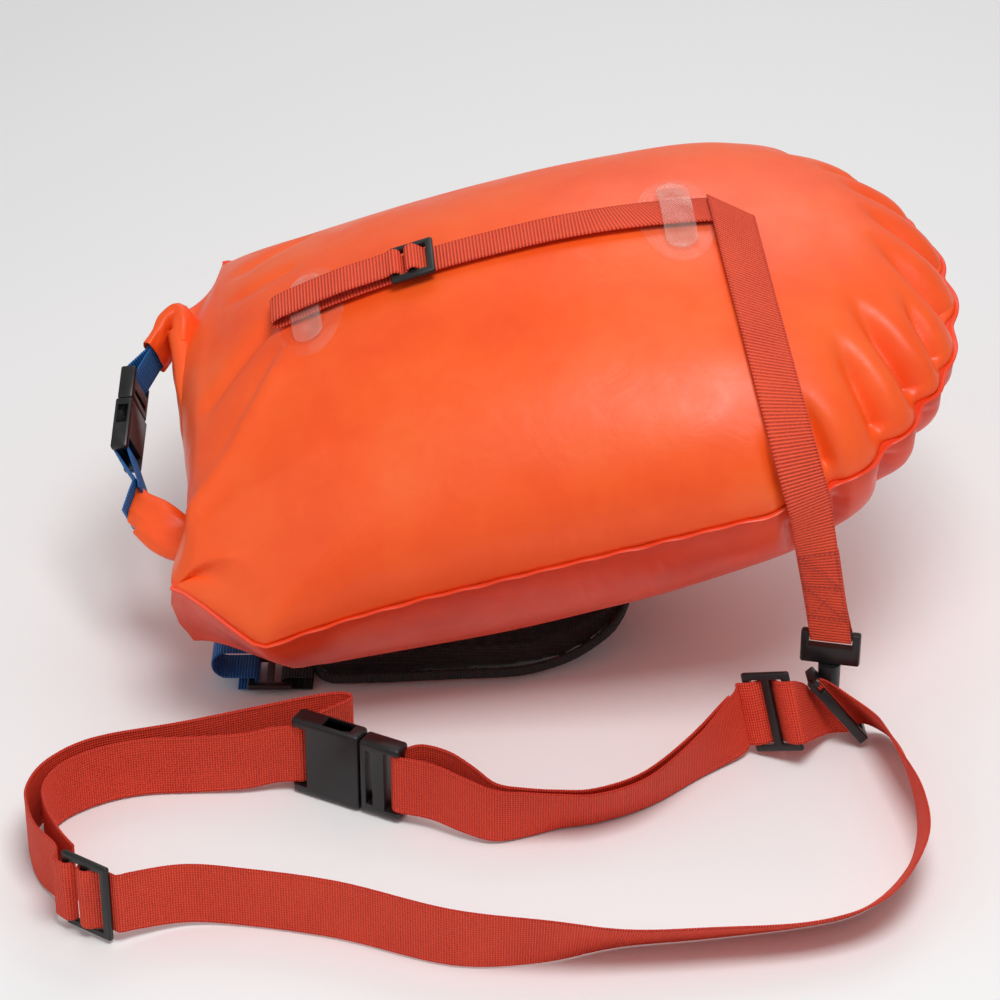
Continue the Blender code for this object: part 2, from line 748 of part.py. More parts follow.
def handle_tab(name, bar_place, way, tips, left, right):
    """The blue webbing that ties a roll end to its half of the buckle.

    It is pulled towards the middle of the two tips. Its layers end at the places left and right.
    """
    radius = wrap_radius(ROLL_BUCKLE["bar"], ROLL_BUCKLE["thickness"] * THIN_BAR_SHARE, NARROW_THICKNESS)
    half = Vector((0, NARROW_WEBBING / 2, 0))
    bar = Vector((bar_place, 0, 0))
    pull = (sum(tips, Vector()) / len(tips) - bar).normalized()
    start = pull.cross(Vector((0, -way, 0)))
    first, last = bar + start * radius, bar - start * radius
    path = smooth_path([*left, left[-1].lerp(first, TAB_BEND_SHARE), first], 3)[:-1]
    rows = [[point - half, point + half] for point in path]
    rows += round_bar(bar, start, -pull, radius, half)
    rows += [[point - half, point + half] for point in smooth_path([last, last.lerp(right, 0.5), right], 3)[1:]]
    strip(name, rows, NARROW_THICKNESS, handle_frame, BLUE_WEBBING)


def upper_tab():
    """Both layers run into the upper end's cut side by side."""
    tips = [handle_place(UPPER_END_SHARES[tip], 1) for tip in UPPER_TIPS]
    bar_place = ROLL_BUCKLE["male"] - ROLL_BUCKLE["bar"] / 2 - GAP
    short = Vector((-4 * SLACK, 0, 0))
    ends = [tips[0].lerp(tips[1], share) + short for share in UPPER_TAB_SHARES]
    handle_tab("handle_tab_upper", bar_place, 1, tips, ends[:1], ends[1])


def lower_tab():
    """One layer lies along the lower end's edge, and the other meets its tip."""
    far, tip = (handle_place(LOWER_END_SHARES[corner], -1) for corner in LOWER_TIPS)
    edge = (tip - far).normalized()
    beside = Vector((edge.z, 0, -edge.x)) * (NARROW_THICKNESS / 2 + SLACK + GAP)
    end = far.lerp(tip, TAB_FAR_SHARE) + beside
    left = [end, end.lerp(tip + beside, 0.5), tip + beside]
    right = tip + Vector((SLACK, 0, SLACK))
    bar_place = -ROLL_BUCKLE["female"] + ROLL_BUCKLE["bar"] / 2 + GAP
    handle_tab("handle_tab_lower", bar_place, -1, [tip], left, right)


# Sliders

def slider(name, frame, sizes):
    """A frame with three bars: X runs along the webbing, Y along the bars."""
    length = 3 * sizes["bar"] + 2 * sizes["slot"]
    opening = sizes["webbing"] + 2 * SLACK
    shape = block_shape((length, opening + 2 * sizes["side"], sizes["thickness"]))
    made = piece(name, shape, frame, BLACK, 0.4)
    round_edges(made, sizes["bevel"])
    for side in (1, -1):
        place = side * (sizes["bar"] + sizes["slot"]) / 2
        cut_block(made, (sizes["slot"], opening, sizes["thickness"] + OVERRUN), (place, 0, 0))


def slider_reach(sizes):
    """How far the webbing's middle stands off the slider's middle where it passes a bar."""
    return sizes["thickness"] / 2 + GAP + sizes["sheet"] / 2


def over_middle_bar(sizes):
    """Webbing from a slot over the middle bar and under the right bar: places along and off the slider."""
    radius = wrap_radius(sizes["bar"], sizes["thickness"], sizes["sheet"])
    turns = (190, 150, 110, 60)
    path = [(radius * math.cos(math.radians(a)), radius * math.sin(math.radians(a))) for a in turns]
    side = sizes["bar"] / 2 + sizes["slot"]
    return path + [(side - GAP, -slider_reach(sizes)), (side + 1.5 * sizes["bar"], -slider_reach(sizes))]


def over_left_bar(sizes):
    """Webbing that comes over the left bar and dives into the slot beside it."""
    radius = wrap_radius(sizes["bar"], sizes["thickness"], sizes["sheet"])
    middle = -sizes["bar"] - sizes["slot"]
    path = [(middle - 1.5 * sizes["bar"], slider_reach(sizes))]
    turns = (110, 70, 30, -10)
    path += [(middle + radius * math.cos(math.radians(a)), radius * math.sin(math.radians(a))) for a in turns]
    return path


def behind_middle_bar(sizes):
    """Webbing that comes over the right bar and ends behind the middle bar."""
    reach = slider_reach(sizes)
    side = sizes["bar"] / 2 + sizes["slot"]
    return [(side + 1.5 * sizes["bar"], reach), (side - GAP, reach), (sizes["bar"] / 2 + GAP, -reach),
            (GAP + sizes["sheet"] / 4, -reach)]


# Clear loops and patches

def patch(name, along):
    """A thin clear sheet welded to the front panel, which follows its skin."""
    rows = []
    for i in range(5):
        share = i / 4 - 0.5
        place = along + PATCH_LENGTH * share
        round_off = math.sqrt(max(0, 1 - (1.7 * share) ** 2))
        reach = PATCH_WIDTH / 2 * round_off / half_width(along)
        rows.append([bag_point(place, math.pi / 2 + reach * j / 3, SLACK) for j in range(-3, 4)])
    strip(name, rows, PATCH_THICKNESS, bag_frame, CLEAR, 0.2, offset=1.0)


def clear_loops():
    """The clear straps that hold the leash to the front panel, each on its weld patch."""
    for name, along in LOOP_PLACES.items():
        patch(name.replace("loop", "patch"), along)
        wide = half_width(along)
        level = SLACK + PATCH_THICKNESS + GAP + LOOP_THICKNESS / 2
        rows = []
        for step in range(13):
            share = step / 6 - 1
            angle = crown_angle(along, LEASH_SIDE) + share * LOOP_REACH / 2 / wide
            arch = max(0, math.cos(share * math.pi * 0.62)) ** 0.8
            lift = level + LOOP_RISE * arch if abs(share) < 0.8 else level
            rows.append([bag_point(along + LOOP_WIDTH * end, angle, lift) for end in (-0.5, 0.5)])
        strip(name, rows, LOOP_THICKNESS, bag_frame, CLEAR, 0.2)


# Leash

def crown_angle(along, side):
    return math.acos(side / half_width(along))


def leash_row(along, lift, slant=0.0):
    """A row across the leash on the bag, slanted where the leash is folded over."""
    row = []
    for half in (0.5, -0.5):
        side = LEASH_SIDE + NARROW_WEBBING * half
        place = along + slant * (0.5 - half)
        row.append(bag_point(place, crown_angle(place, side), lift))
    return row


def leash_upper():
    """The webbing on the front: a loop through the neck's clear loop, a slider, and the run to the fold."""
    sizes = NARROW_SLIDER
    sheet = NARROW_THICKNESS
    first = leash_level()
    middle = first + slider_reach(sizes)
    top = middle + slider_reach(sizes)
    loop_top = 3 * SLACK + PATCH_THICKNESS + 1.5 * LOOP_THICKNESS + LOOP_RISE + sheet / 2 + SLACK
    slot = -sizes["bar"] / 2
    plan = [(LEASH_SLIDER_PLACE + slot, first)]
    shares = (0.2, 0.4, 0.6, 0.8, 0.96)
    reach = LEASH_START - LEASH_SLIDER_PLACE
    plan += [(LEASH_SLIDER_PLACE + reach * share, first) for share in shares]
    plan += [(LEASH_START, (first + loop_top) / 2)]
    plan += [(LEASH_SLIDER_PLACE + reach * share, loop_top) for share in (0.96, 0.8, 0.6, 0.45)]
    plan += [(LEASH_SLIDER_PLACE + along, middle + off) for along, off in over_left_bar(sizes)]
    strip("leash_neck_loop", [leash_row(*place) for place in plan], sheet, bag_frame, RED_WEBBING)

    rows = [leash_row(LEASH_SLIDER_PLACE + along, middle + off) for along, off in over_middle_bar(sizes)]
    start = LEASH_SLIDER_PLACE + 3 * (sizes["bar"] + sizes["slot"]) / 2
    count = 10
    for k in range(1, count + 1):
        slant = NARROW_WEBBING * max(0, 2 * k / count - 1)
        rows.append(leash_row(start + (LEASH_FOLD - start) * k / count, first, slant))
    strip("leash_upper", rows, sheet, bag_frame, RED_WEBBING)

    spot = bag_point(LEASH_SLIDER_PLACE, crown_angle(LEASH_SLIDER_PLACE, LEASH_SIDE), middle)
    normal = bag_normal(LEASH_SLIDER_PLACE, crown_angle(LEASH_SLIDER_PLACE, LEASH_SIDE))
    along = Vector((normal.z, 0, -normal.x)).normalized()
    turn = Matrix((along, normal.cross(along), normal)).transposed().to_euler()
    slider("leash_slider", empty("leash_slider_seat", bag_frame, spot, turn), sizes)


def leash_level():
    """The lift of the webbing that lies on the bag."""
    return 3 * SLACK + PATCH_THICKNESS + NARROW_THICKNESS / 2


def leash_drop():
    """The webbing that hangs from the fold down the near side and round the swivel's bar."""
    sheet = NARROW_THICKNESS
    first = leash_level()
    over_rim = RIM_OUTSIDE + 2 * SLACK + sheet / 2
    rows = []
    count = 14
    for step in range(count + 1):
        share = step / count
        row = []
        for side, place in ((0.5, LEASH_FOLD), (-0.5, LEASH_FOLD + NARROW_WEBBING)):
            begin = crown_angle(place, LEASH_SIDE + NARROW_WEBBING * side)
            angle = begin + (math.pi - begin) * share
            lift = first + SLACK + (sheet + SLACK) * max(0, 1 - 4 * share)
            lift += max(0, over_rim - lift) * max(0, 4 * share - 3)
            row.append(bag_matrix @ bag_point(place + LEASH_SWING * share, angle, lift))
        rows.append(row)
    top = sum(rows[-1], Vector()) / 2
    half = (rows[-1][1] - rows[-1][0]) / 2
    across = Vector((math.cos(EYE_TURN), math.sin(EYE_TURN), 0))
    back = Vector((-across.y, across.x, 0))
    bar = Vector((SWIVEL_X, SWIVEL_Y, SWIVEL_EYE_HEIGHT + EYE_HEIGHT - EYE_BAR / 2))
    radius = wrap_radius(EYE_BAR, EYE_BAR_THICKNESS, sheet)
    front = bar - back * radius
    flat = across * NARROW_WEBBING / 2
    shares = (0.12, 0.24, 0.36, 0.48, 0.6, 0.72, 0.84, 0.95)
    hanging = [(top.lerp(front, share), half.lerp(flat, min(1, 1.5 * share))) for share in shares]
    rows += [[middle - turn, middle + turn] for middle, turn in hanging]
    rows += round_bar(bar, -back, Vector((0, 0, -1)), radius, flat)
    apart = sheet + 2 * SLACK
    for (middle, turn), spread in zip(reversed(hanging[2:]), (0.8, 0.3, 0, 0, 0, 0)):
        middle = middle + back * (apart + (2 * radius - apart) * spread)
        rows.append([middle - turn, middle + turn])
    strip("leash_drop", rows, sheet, floor_frame, RED_WEBBING)


# Swivel hook

def swivel_hook():
    """The leash's swivel: an eye on the webbing, a socket that turns on its post, and a gated belt ring."""
    place = (SWIVEL_X, SWIVEL_Y, SWIVEL_EYE_HEIGHT)
    eye_frame = empty("swivel_eye_frame", floor_frame, place, (0, 0, EYE_TURN))
    shape = block_shape((EYE_WIDTH, EYE_THICKNESS, EYE_HEIGHT), (0, 0, EYE_HEIGHT / 2))
    eye = piece("swivel_eye", shape, eye_frame, BLACK, 0.38)
    round_edges(eye, EYE_THICKNESS / 4)
    slot_width = NARROW_WEBBING + 2 * SLACK
    slot_middle = EYE_HEIGHT - EYE_BAR - EYE_SLOT / 2
    cut_block(eye, (slot_width, EYE_THICKNESS + OVERRUN, EYE_SLOT), (0, 0, slot_middle))
    for side in (1, -1):
        cut_block(eye, (slot_width, EYE_THICKNESS, 2 * EYE_BAR),
                  (0, side * (EYE_THICKNESS + EYE_BAR_THICKNESS) / 2, EYE_HEIGHT))
    post_length = SOCKET_HEIGHT * POST_SHARE
    post = tool(rod_shape(POST_RADIUS, post_length, (0, 0, -post_length / 2 + SLACK)), eye_frame)
    combine(eye, post, "UNION")
    head = tool(rod_shape(POST_HEAD_RADIUS, POST_HEAD, (0, 0, -post_length + POST_HEAD / 2)), eye_frame)
    combine(eye, head, "UNION")

    turning = empty("swivel_turn", floor_frame, (SWIVEL_X, SWIVEL_Y, SWIVEL_EYE_HEIGHT))
    along = RING_ALONG.normalized()
    through = (BELT_NORMAL - along * BELT_NORMAL.dot(along)).normalized()
    basis = Matrix((along, through, along.cross(through))).transposed().to_euler()
    middle = Vector((RING_X, RING_Y, RING_HEIGHT)) - Vector((SWIVEL_X, SWIVEL_Y, SWIVEL_EYE_HEIGHT))
    ring_frame = empty("belt_ring_frame", turning, middle, basis)
    depth = RING_GAP + 2 * RING_BAR
    ring = piece("belt_ring", block_shape((RING_LENGTH, depth, RING_BAR)), ring_frame, BLACK, 0.38)
    round_edges(ring, RING_BAR / 6)
    side = (RING_LENGTH - RING_INSIDE) / 2
    cut_block(ring, (RING_INSIDE, RING_GAP, RING_BAR + OVERRUN), (0, 0, 0))
    front = -(RING_GAP + RING_BAR) / 2
    cut_block(ring, (RING_LENGTH - side + OVERRUN, RING_BAR + OVERRUN, RING_BAR + OVERRUN),
              (side / 2 + OVERRUN / 2, front - OVERRUN / 2, 0))
    lap = RING_BAR / 2 + OVERRUN
    cut_block(ring, (side + OVERRUN, RING_BAR + OVERRUN, lap),
              (-RING_LENGTH / 2 + (side - OVERRUN) / 2, front - OVERRUN / 2, -lap / 2 + GAP / 2))
    pin_x = -(RING_LENGTH - side) / 2
    combine(ring, tool(rod_shape(PIN_RADIUS + GAP, RING_BAR + OVERRUN, (pin_x, front, 0)), ring_frame))
    socket = tool(rod_shape(SOCKET_RADIUS, SOCKET_HEIGHT, (0, 0, -SOCKET_HEIGHT / 2 - GAP)), turning)
    combine(ring, socket, "UNION")
    neck = rod_shape(POST_RADIUS + GAP, SOCKET_HEIGHT, (0, 0, 0))
    combine(ring, tool(neck, turning))
    room = post_length + SLACK
    roof = post_length - POST_HEAD - SLACK
    combine(ring, tool(rod_shape(POST_HEAD_RADIUS + GAP, room - roof, (0, 0, -(room + roof) / 2)), turning))

    gate_frame = empty("ring_gate_pivot", ring_frame, (pin_x, front, 0))
    reach = RING_LENGTH - side / 2
    clear = 1.6 * side
    radius = RING_BAR / 2 - GAP
    gate = piece("ring_gate", block_shape((reach - clear, 2 * radius, RING_BAR), ((reach + clear) / 2, 0, 0)),
                 gate_frame, BLACK, 0.38)
    round_edges(gate, RING_BAR / 8)
    half_bar = RING_BAR / 2 - GAP
    tail = tool(block_shape((clear + side / 2, 2 * radius - GAP, half_bar),
                            ((clear + side / 2) / 2, 0, -half_bar / 2 - GAP)), gate_frame)
    combine(gate, tail, "UNION")
    knuckle = tool(rod_shape(radius - GAP / 2, half_bar - GAP, (0, 0, -half_bar / 2 - GAP)), gate_frame)
    combine(gate, knuckle, "UNION")
    combine(gate, tool(rod_shape(PIN_RADIUS + GAP, RING_BAR + OVERRUN), gate_frame))
    pin = rod_shape(PIN_RADIUS, RING_BAR + 2 * SLACK, (pin_x, front, 0))
    piece("gate_pin", pin, ring_frame, GREY, 0.3)


# Belt

def belt_rows(shares, steps=4, before=None, after=None):
    """Rows of the belt's lower and upper edge through a table of shares and the rows at its ends."""
    places = [(Vector(place) * BELT_REACH, Vector(lean).normalized()) for place, lean in shares]
    if before:
        places.insert(0, (before[0], (before[1] - before[0]).normalized()))
    if after:
        places.append((after[0], (after[1] - after[0]).normalized()))
    low = smooth_path([place for place, lean in places], steps)
    lean = smooth_path([lean for place, lean in places], steps)
    return [(point, point + way.normalized() * WIDE_WEBBING) for point, way in zip(low, lean)]


def seat_slider(name, shares, run, up):
    """A slider of the belt, and its axes for the webbing that is threaded through it."""
    place = Vector(shares) * BELT_REACH
    run = run.normalized()
    up = (up - run * up.dot(run)).normalized()
    face = run.cross(up)
    turn = Matrix((run, up, face)).transposed().to_euler()
    slider(name, empty(name + "_seat", floor_frame, place, turn), WIDE_SLIDER)
    return place, run, up, face


def threaded(seat, path, way=1):
    """Rows of webbing along a path through a slider, right way round or mirrored."""
    place, run, up, face = seat
    half = up * WIDE_WEBBING / 2
    rows = []
    for along, off in path:
        middle = place + run * along * way + face * off
        rows.append((middle - half, middle + half))
    return rows


def belt():
    """The waist belt: its front run, and a loop of webbing at each half of the buckle."""
    left = seat_slider("belt_slider_left", LEFT_SLIDER_SHARES, LEFT_SLIDER_RUN, LEFT_SLIDER_UP)
    right = seat_slider("belt_slider_right", RIGHT_SLIDER_SHARES, RIGHT_SLIDER_RUN, RIGHT_SLIDER_UP)
    start = threaded(left, over_middle_bar(WIDE_SLIDER))
    end = threaded(right, behind_middle_bar(WIDE_SLIDER))
    rows = start + belt_rows(FRONT_RUN_SHARES, 4, start[-1], end[0])[1:] + end[1:]
    strip("belt_front_run", rows, WIDE_THICKNESS, floor_frame, RED_WEBBING)

    run = Vector((math.cos(WAIST_BUCKLE_TURN), math.sin(WAIST_BUCKLE_TURN), 0))
    face = Vector((run.y, -run.x, 0))
    half = Vector((0, 0, WIDE_WEBBING / 2))
    radius = wrap_radius(WAIST_BUCKLE["bar"], WAIST_BUCKLE["thickness"] * THIN_BAR_SHARE, WIDE_THICKNESS)
    bar = waist_frame.location + run * (WAIST_BUCKLE["male"] - WAIST_BUCKLE["bar"] / 2 - GAP)
    start = list(reversed(threaded(right, behind_middle_bar(WIDE_SLIDER), -1)))
    turn = round_bar(bar, face, -run, radius, half)
    rows = start + belt_rows(RIGHT_LOOP_SHARES, 4, start[-1], turn[0])[1:] + turn[1:]
    rows += belt_rows(RIGHT_BACK_SHARES, 3, turn[-1])[1:]
    strip("belt_right_loop", rows, WIDE_THICKNESS, floor_frame, RED_WEBBING)

    bar = waist_frame.location - run * (WAIST_BUCKLE["female"] - WAIST_BUCKLE["bar"] / 2 - GAP)
    start = list(reversed(threaded(left, over_left_bar(WIDE_SLIDER))))
    turn = round_bar(bar, -face, run, radius, half)
    rows = start + belt_rows(LEFT_OUTER_SHARES, 4, start[-1], turn[0])[1:] + turn[1:]
    rows += belt_rows(LEFT_INNER_SHARES, 4, turn[-1])[1:]
    strip("belt_left_loop", rows, WIDE_THICKNESS, floor_frame, RED_WEBBING)


# Padded harness

def inside_bag(point):
    """Below one where a point of the floor's frame is inside the bag."""
    local = bag_matrix.inverted() @ point
    if local.x <= NECK_START or local.x >= BAG_LENGTH:
        return 2.0
    rise = FRONT_RISE if local.z > 0 else REAR_RISE
    high = max(rise * rise_share(local.x), SKIN)
    wide = max(half_width(local.x), SKIN)
    return (local.y / wide) ** 2 + (local.z / high) ** 2


def underside(x, y):
    """The height of the bag's lower skin over a place on the floor."""
    low, high = 0.0, BAG_HEIGHT + BAG_LENGTH * math.sin(BAG_PITCH)
    step = SKIN / 2
    height = low
    while height < high:
        if inside_bag(Vector((x, y, height))) < 1:
            return height
        height += step
    return high


def bag_middle(x):
    """The bag's axis over the floor, sideways."""
    return BAG_Y + (x - BAG_X) * math.tan(BAG_YAW)


def shoulder_pad(name, side):
    """A padded strap from the rear panel down to the floor, pressed flat under the bag."""
    rows = []
    for x_share, out_share, rise in PAD_SHARES:
        x = x_share * BELT_REACH
        outer = bag_middle(x) + side * out_share * BELT_REACH
        inner = outer - side * PAD_WIDTH
        limit = underside(x, inner) - SLACK
        outer_top = min(rise * BELT_REACH + PAD_THICKNESS + SLACK, underside(x, outer) - SLACK)
        inner_top = max(min(limit, outer_top + PAD_WIDTH / 2), PAD_THICKNESS + SLACK)
        ends = (Vector((x, outer, outer_top)), Vector((x, inner, inner_top)))
        rows.append([ends[0], (ends[0] + ends[1]) / 2, ends[1]])
    smooth = list(zip(*[smooth_path([row[k] for row in rows], 2) for k in range(3)]))
    if side > 0:
        smooth = [tuple(reversed(row)) for row in smooth]
    strip(name, smooth, PAD_THICKNESS, floor_frame, PAD_BLACK, 0.9, offset=1.0)


def harness(name, side):
    """A shoulder pad's lower end: a ladder lock on the floor, tied by webbing to the bag's neck corner."""
    x = LOCK_PLACE_SHARE * BELT_REACH
    y = bag_middle(x) + side * LOCK_SIDE_SHARE * BELT_REACH
    sizes = NARROW_SLIDER
    radius = wrap_radius(sizes["bar"], sizes["thickness"], NARROW_THICKNESS)
    level = radius + NARROW_THICKNESS / 2 + GAP
    slider("ladder_lock_" + name, empty("ladder_lock_seat_" + name, floor_frame, (x, y, level)), sizes)
    half = Vector((0, NARROW_WEBBING / 2, 0))
    up = Vector((0, 0, 1))
    bar_reach = sizes["bar"] + sizes["slot"]
    right = Vector((x + bar_reach, y, level))
    edge = PAD_SHARES[0][0] * BELT_REACH - SLACK
    rows = [[Vector((place, y, level + radius)) - half, Vector((place, y, level + radius)) + half]
            for place in (edge, right.x + radius)]
    rows += round_bar(right, up, Vector((-1, 0, 0)), radius, half)
    rows += [[Vector((place, y, level - radius)) - half, Vector((place, y, level - radius)) + half]
             for place in (right.x + radius, edge)]
    strip("pad_strap_" + name, rows, NARROW_THICKNESS, floor_frame, PAD_BLACK)
    left = Vector((x - bar_reach, y, level))
    tail = left.x - 2 * radius
    rows = [[Vector((tail, y, level - radius)) - half, Vector((tail, y, level - radius)) + half]]
    rows += round_bar(left, -up, Vector((1, 0, 0)), radius, half)
    end = anchor_end(x - ANCHOR_REACH, y)
    start = Vector((left.x - radius, y, level + radius))
    turn = (end.z - start.z) / 2
    centre = Vector((x - ADJUSTER_REACH, y, start.z + turn))
    rows += round_bar(centre, -up, Vector((-1, 0, 0)), turn, half)
    rows.append([end - half, end + half])
    strip("adjuster_strap_" + name, rows, NARROW_THICKNESS, floor_frame, BLUE_WEBBING)
    under_patch("lower_anchor_" + name, x - ANCHOR_REACH + ANCHOR_LENGTH / 2 + SLACK, y)
    x = PAD_SHARES[-2][0] * BELT_REACH
    y = bag_middle(x) + side * (PAD_SHARES[-2][1] * BELT_REACH - PAD_WIDTH / 2)
    under_patch("upper_anchor_" + name, x + ANCHOR_LENGTH * 1.2, y)


def anchor_end(x, y):
    """The place just under the bag's lower skin where the adjuster webbing is held."""
    places = [(x + ANCHOR_LENGTH * a, y + NARROW_WEBBING * b) for a in (0, 0.5) for b in (-0.5, 0, 0.5)]
    height = min(underside(*place) for place in places)
    return Vector((x + ANCHOR_LENGTH / 2, y, height - 4 * SLACK - ANCHOR_THICKNESS - NARROW_THICKNESS / 2))


def under_patch(name, x, y):
    """A welded sheet on the bag's lower skin."""
    rows = []
    for a in range(-2, 3):
        row = []
        for b in range(-2, 3):
            place = (x + a * ANCHOR_LENGTH / 4, y + b * ANCHOR_WIDTH / 4)
            row.append(Vector((*place, underside(*place) - 2 * SLACK)))
        rows.append(row)
    strip(name, rows, ANCHOR_THICKNESS, floor_frame, DEEP_ORANGE, 0.45, offset=1.0)


# Valves

def valve_frame(name, angle):
    """A frame on the bag's skin with Z pointing out."""
    normal = bag_normal(VALVE_ALONG, angle)
    side = Vector((0, 0, 1)).cross(normal).normalized()
    turn = Matrix((side, normal.cross(side), normal)).transposed().to_euler()
    return empty(name, bag_frame, bag_point(VALVE_ALONG, angle), turn)


def valve(name, angle):
    """An oral valve: base, stem and twist-lock collar."""
    frame = valve_frame(name + "_frame", angle)
    flange = VALVE_FLANGE + GAP
    fit = VALVE_STEM_RADIUS + GAP
    barrel = VALVE_BARREL_RADIUS
    outline = [(fit, flange + VALVE_FLANGE), (barrel, flange + VALVE_FLANGE), (barrel, flange)]
    outline += [(VALVE_FLANGE_RADIUS, flange), (VALVE_FLANGE_RADIUS, GAP), (barrel, GAP)]
    outline += [(barrel, -VALVE_BARREL), (fit, -VALVE_BARREL)]
    turned(name + "_base", outline, frame, CLEAR)
    outline = [(VALVE_BORE_RADIUS, VALVE_STEM), (VALVE_STEM_RADIUS, VALVE_STEM - SKIN)]
    outline += [(VALVE_STEM_RADIUS, -VALVE_BARREL), (VALVE_BORE_RADIUS, -VALVE_BARREL)]
    turned(name + "_stem", outline, frame, BLACK)
    collar_frame = empty(name + "_collar_turn", frame, (0, 0, VALVE_COLLAR_PLACE))
    radius = VALVE_COLLAR_RADIUS
    outline = [(fit, VALVE_COLLAR), (radius, VALVE_COLLAR - SKIN), (radius, 0), (fit, 0)]
    turned(name + "_collar", outline, collar_frame, BLUE_WEBBING)


def settle():
    """Move the whole part so that its origin is under the middle of its box."""
    bpy.context.view_layer.update()
    graph = bpy.context.evaluated_depsgraph_get()
    low = Vector((math.inf,) * 3)
    high = Vector((-math.inf,) * 3)
    for made in parts.objects:
        if made.type != "MESH":
            continue
        for vertex in made.evaluated_get(graph).data.vertices:
            place = made.matrix_world @ vertex.co
            low = Vector(map(min, low, place))
            high = Vector(map(max, high, place))
    floor_frame.location = (-(low.x + high.x) / 2, -(low.y + high.y) / 2, -low.z)
    bpy.context.view_layer.update()
    print("box", [round(v, 4) for v in high - low])


clear_scene()
parts = collection("swim_buoy")
cutters = collection("cutters")
floor_frame = empty("buoy")
bag_frame = empty("bag_frame", floor_frame, (BAG_X, BAG_Y, BAG_HEIGHT), (BAG_ROLL, -BAG_PITCH, BAG_YAW))
roll_frame = empty("roll_frame", bag_frame, (NECK_START - SLACK - ROLL_THICKNESS / 2, 0, ROLL_LIFT),
                   (ROLL_TILT, 0, 0))
place = (HANDLE_FORWARD, HANDLE_SIDE, 0)
handle_frame = empty("handle_frame", roll_frame, place, (math.pi / 2, 0, HANDLE_TURN))
waist_frame = empty("waist_frame", floor_frame, (WAIST_BUCKLE_X, WAIST_BUCKLE_Y, WAIST_BUCKLE["width"] / 2),
                    (math.pi / 2, 0, WAIST_BUCKLE_TURN))
bpy.context.view_layer.update()
bag_matrix = bag_frame.matrix_world.copy()

chamber("front_chamber", 1, ORANGE)
chamber("rear_chamber", -1, DEEP_ORANGE)
rim()
dry_sleeve()
rolled_mouth()
roll_end("roll_end_upper", UPPER_END_SHARES, 1)
roll_end("roll_end_lower", LOWER_END_SHARES, -1)
buckle("roll_buckle", handle_frame, ROLL_BUCKLE)
upper_tab()
lower_tab()
clear_loops()
leash_upper()
leash_drop()
swivel_hook()
buckle("waist_buckle", waist_frame, WAIST_BUCKLE)
belt()
for name, side in (("near", -1), ("far", 1)):
    shoulder_pad("shoulder_pad_" + name, side)
    harness(name, side)
valve("front_valve", VALVE_ANGLE)
valve("rear_valve", -VALVE_ANGLE)
settle()
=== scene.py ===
import json
import math

import bpy
import bmesh
from mathutils.bvhtree import BVHTree
from mathutils import Euler, Matrix, Vector, noise


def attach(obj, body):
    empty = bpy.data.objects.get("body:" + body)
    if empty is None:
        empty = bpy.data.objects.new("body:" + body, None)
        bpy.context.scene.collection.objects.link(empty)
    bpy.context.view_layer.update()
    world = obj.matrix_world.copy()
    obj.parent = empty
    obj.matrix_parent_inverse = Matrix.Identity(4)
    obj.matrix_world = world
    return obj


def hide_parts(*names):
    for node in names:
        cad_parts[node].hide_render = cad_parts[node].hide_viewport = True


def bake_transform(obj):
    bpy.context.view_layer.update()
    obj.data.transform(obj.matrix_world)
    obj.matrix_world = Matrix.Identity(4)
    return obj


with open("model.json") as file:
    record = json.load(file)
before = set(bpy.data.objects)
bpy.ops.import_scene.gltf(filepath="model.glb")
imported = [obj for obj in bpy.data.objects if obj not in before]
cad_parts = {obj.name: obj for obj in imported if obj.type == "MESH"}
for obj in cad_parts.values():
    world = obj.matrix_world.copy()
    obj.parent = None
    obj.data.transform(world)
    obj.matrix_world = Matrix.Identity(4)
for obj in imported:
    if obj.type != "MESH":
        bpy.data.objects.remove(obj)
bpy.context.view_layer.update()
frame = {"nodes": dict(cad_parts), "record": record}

# the part stands this far from its drawing's own zero
drawingShift = Vector((-0.00484, -0.02425, 0.0006))


def drawn(x, y, z):
    return Vector((x, y, z)) + drawingShift


def frameMatrix(place, turn):
    return Matrix.Translation(place) @ Euler(turn).to_matrix().to_4x4()


def link(obj):
    bpy.context.scene.collection.objects.link(obj)
    return obj


def tidyMesh(obj, sharpAngle=None, merge=True):
    shape = bmesh.new()
    shape.from_mesh(obj.data)
    if merge:
        bmesh.ops.remove_doubles(shape, verts=shape.verts, dist=0.00001)
    bmesh.ops.recalc_face_normals(shape, faces=shape.faces)
    shape.to_mesh(obj.data)
    shape.free()
    obj.data.shade_smooth()
    if sharpAngle:
        obj.data.set_sharp_from_angle(angle=math.radians(sharpAngle))
    return obj


def addMesh(name, points, faces, uvs=None, sharpAngle=None, merge=True):
    mesh = bpy.data.meshes.new(name)
    mesh.from_pydata([tuple(p) for p in points], [], faces)
    if uvs:
        layer = mesh.uv_layers.new(name="cloth")
        for loop in mesh.loops:
            layer.data[loop.index].uv = uvs[loop.vertex_index]
    mesh.update()
    return tidyMesh(link(bpy.data.objects.new(name, mesh)), sharpAngle, merge)


def tubeFaces(rings, size, first=0, caps=(True, True), closed=False):
    # faces between rings of points, with a face over each end
    faces = []
    for ring in range(rings if closed else rings - 1):
        for k in range(size):
            a, b = ring * size + k, ring * size + (k + 1) % size
            faces.append([first + corner % (rings * size) for corner in (a, b, b + size, a + size)])
    if caps[0]:
        faces.append([first + k for k in reversed(range(size))])
    if caps[1]:
        faces.append([first + (rings - 1) * size + k for k in range(size)])
    return faces


def gridFaces(rows, columns, first=0, flip=False):
    faces = []
    for row in range(rows - 1):
        for k in range(first + row * columns, first + (row + 1) * columns - 1):
            quad = (k, k + 1, k + columns + 1, k + columns)
            faces.append(quad[::-1] if flip else quad)
    return faces


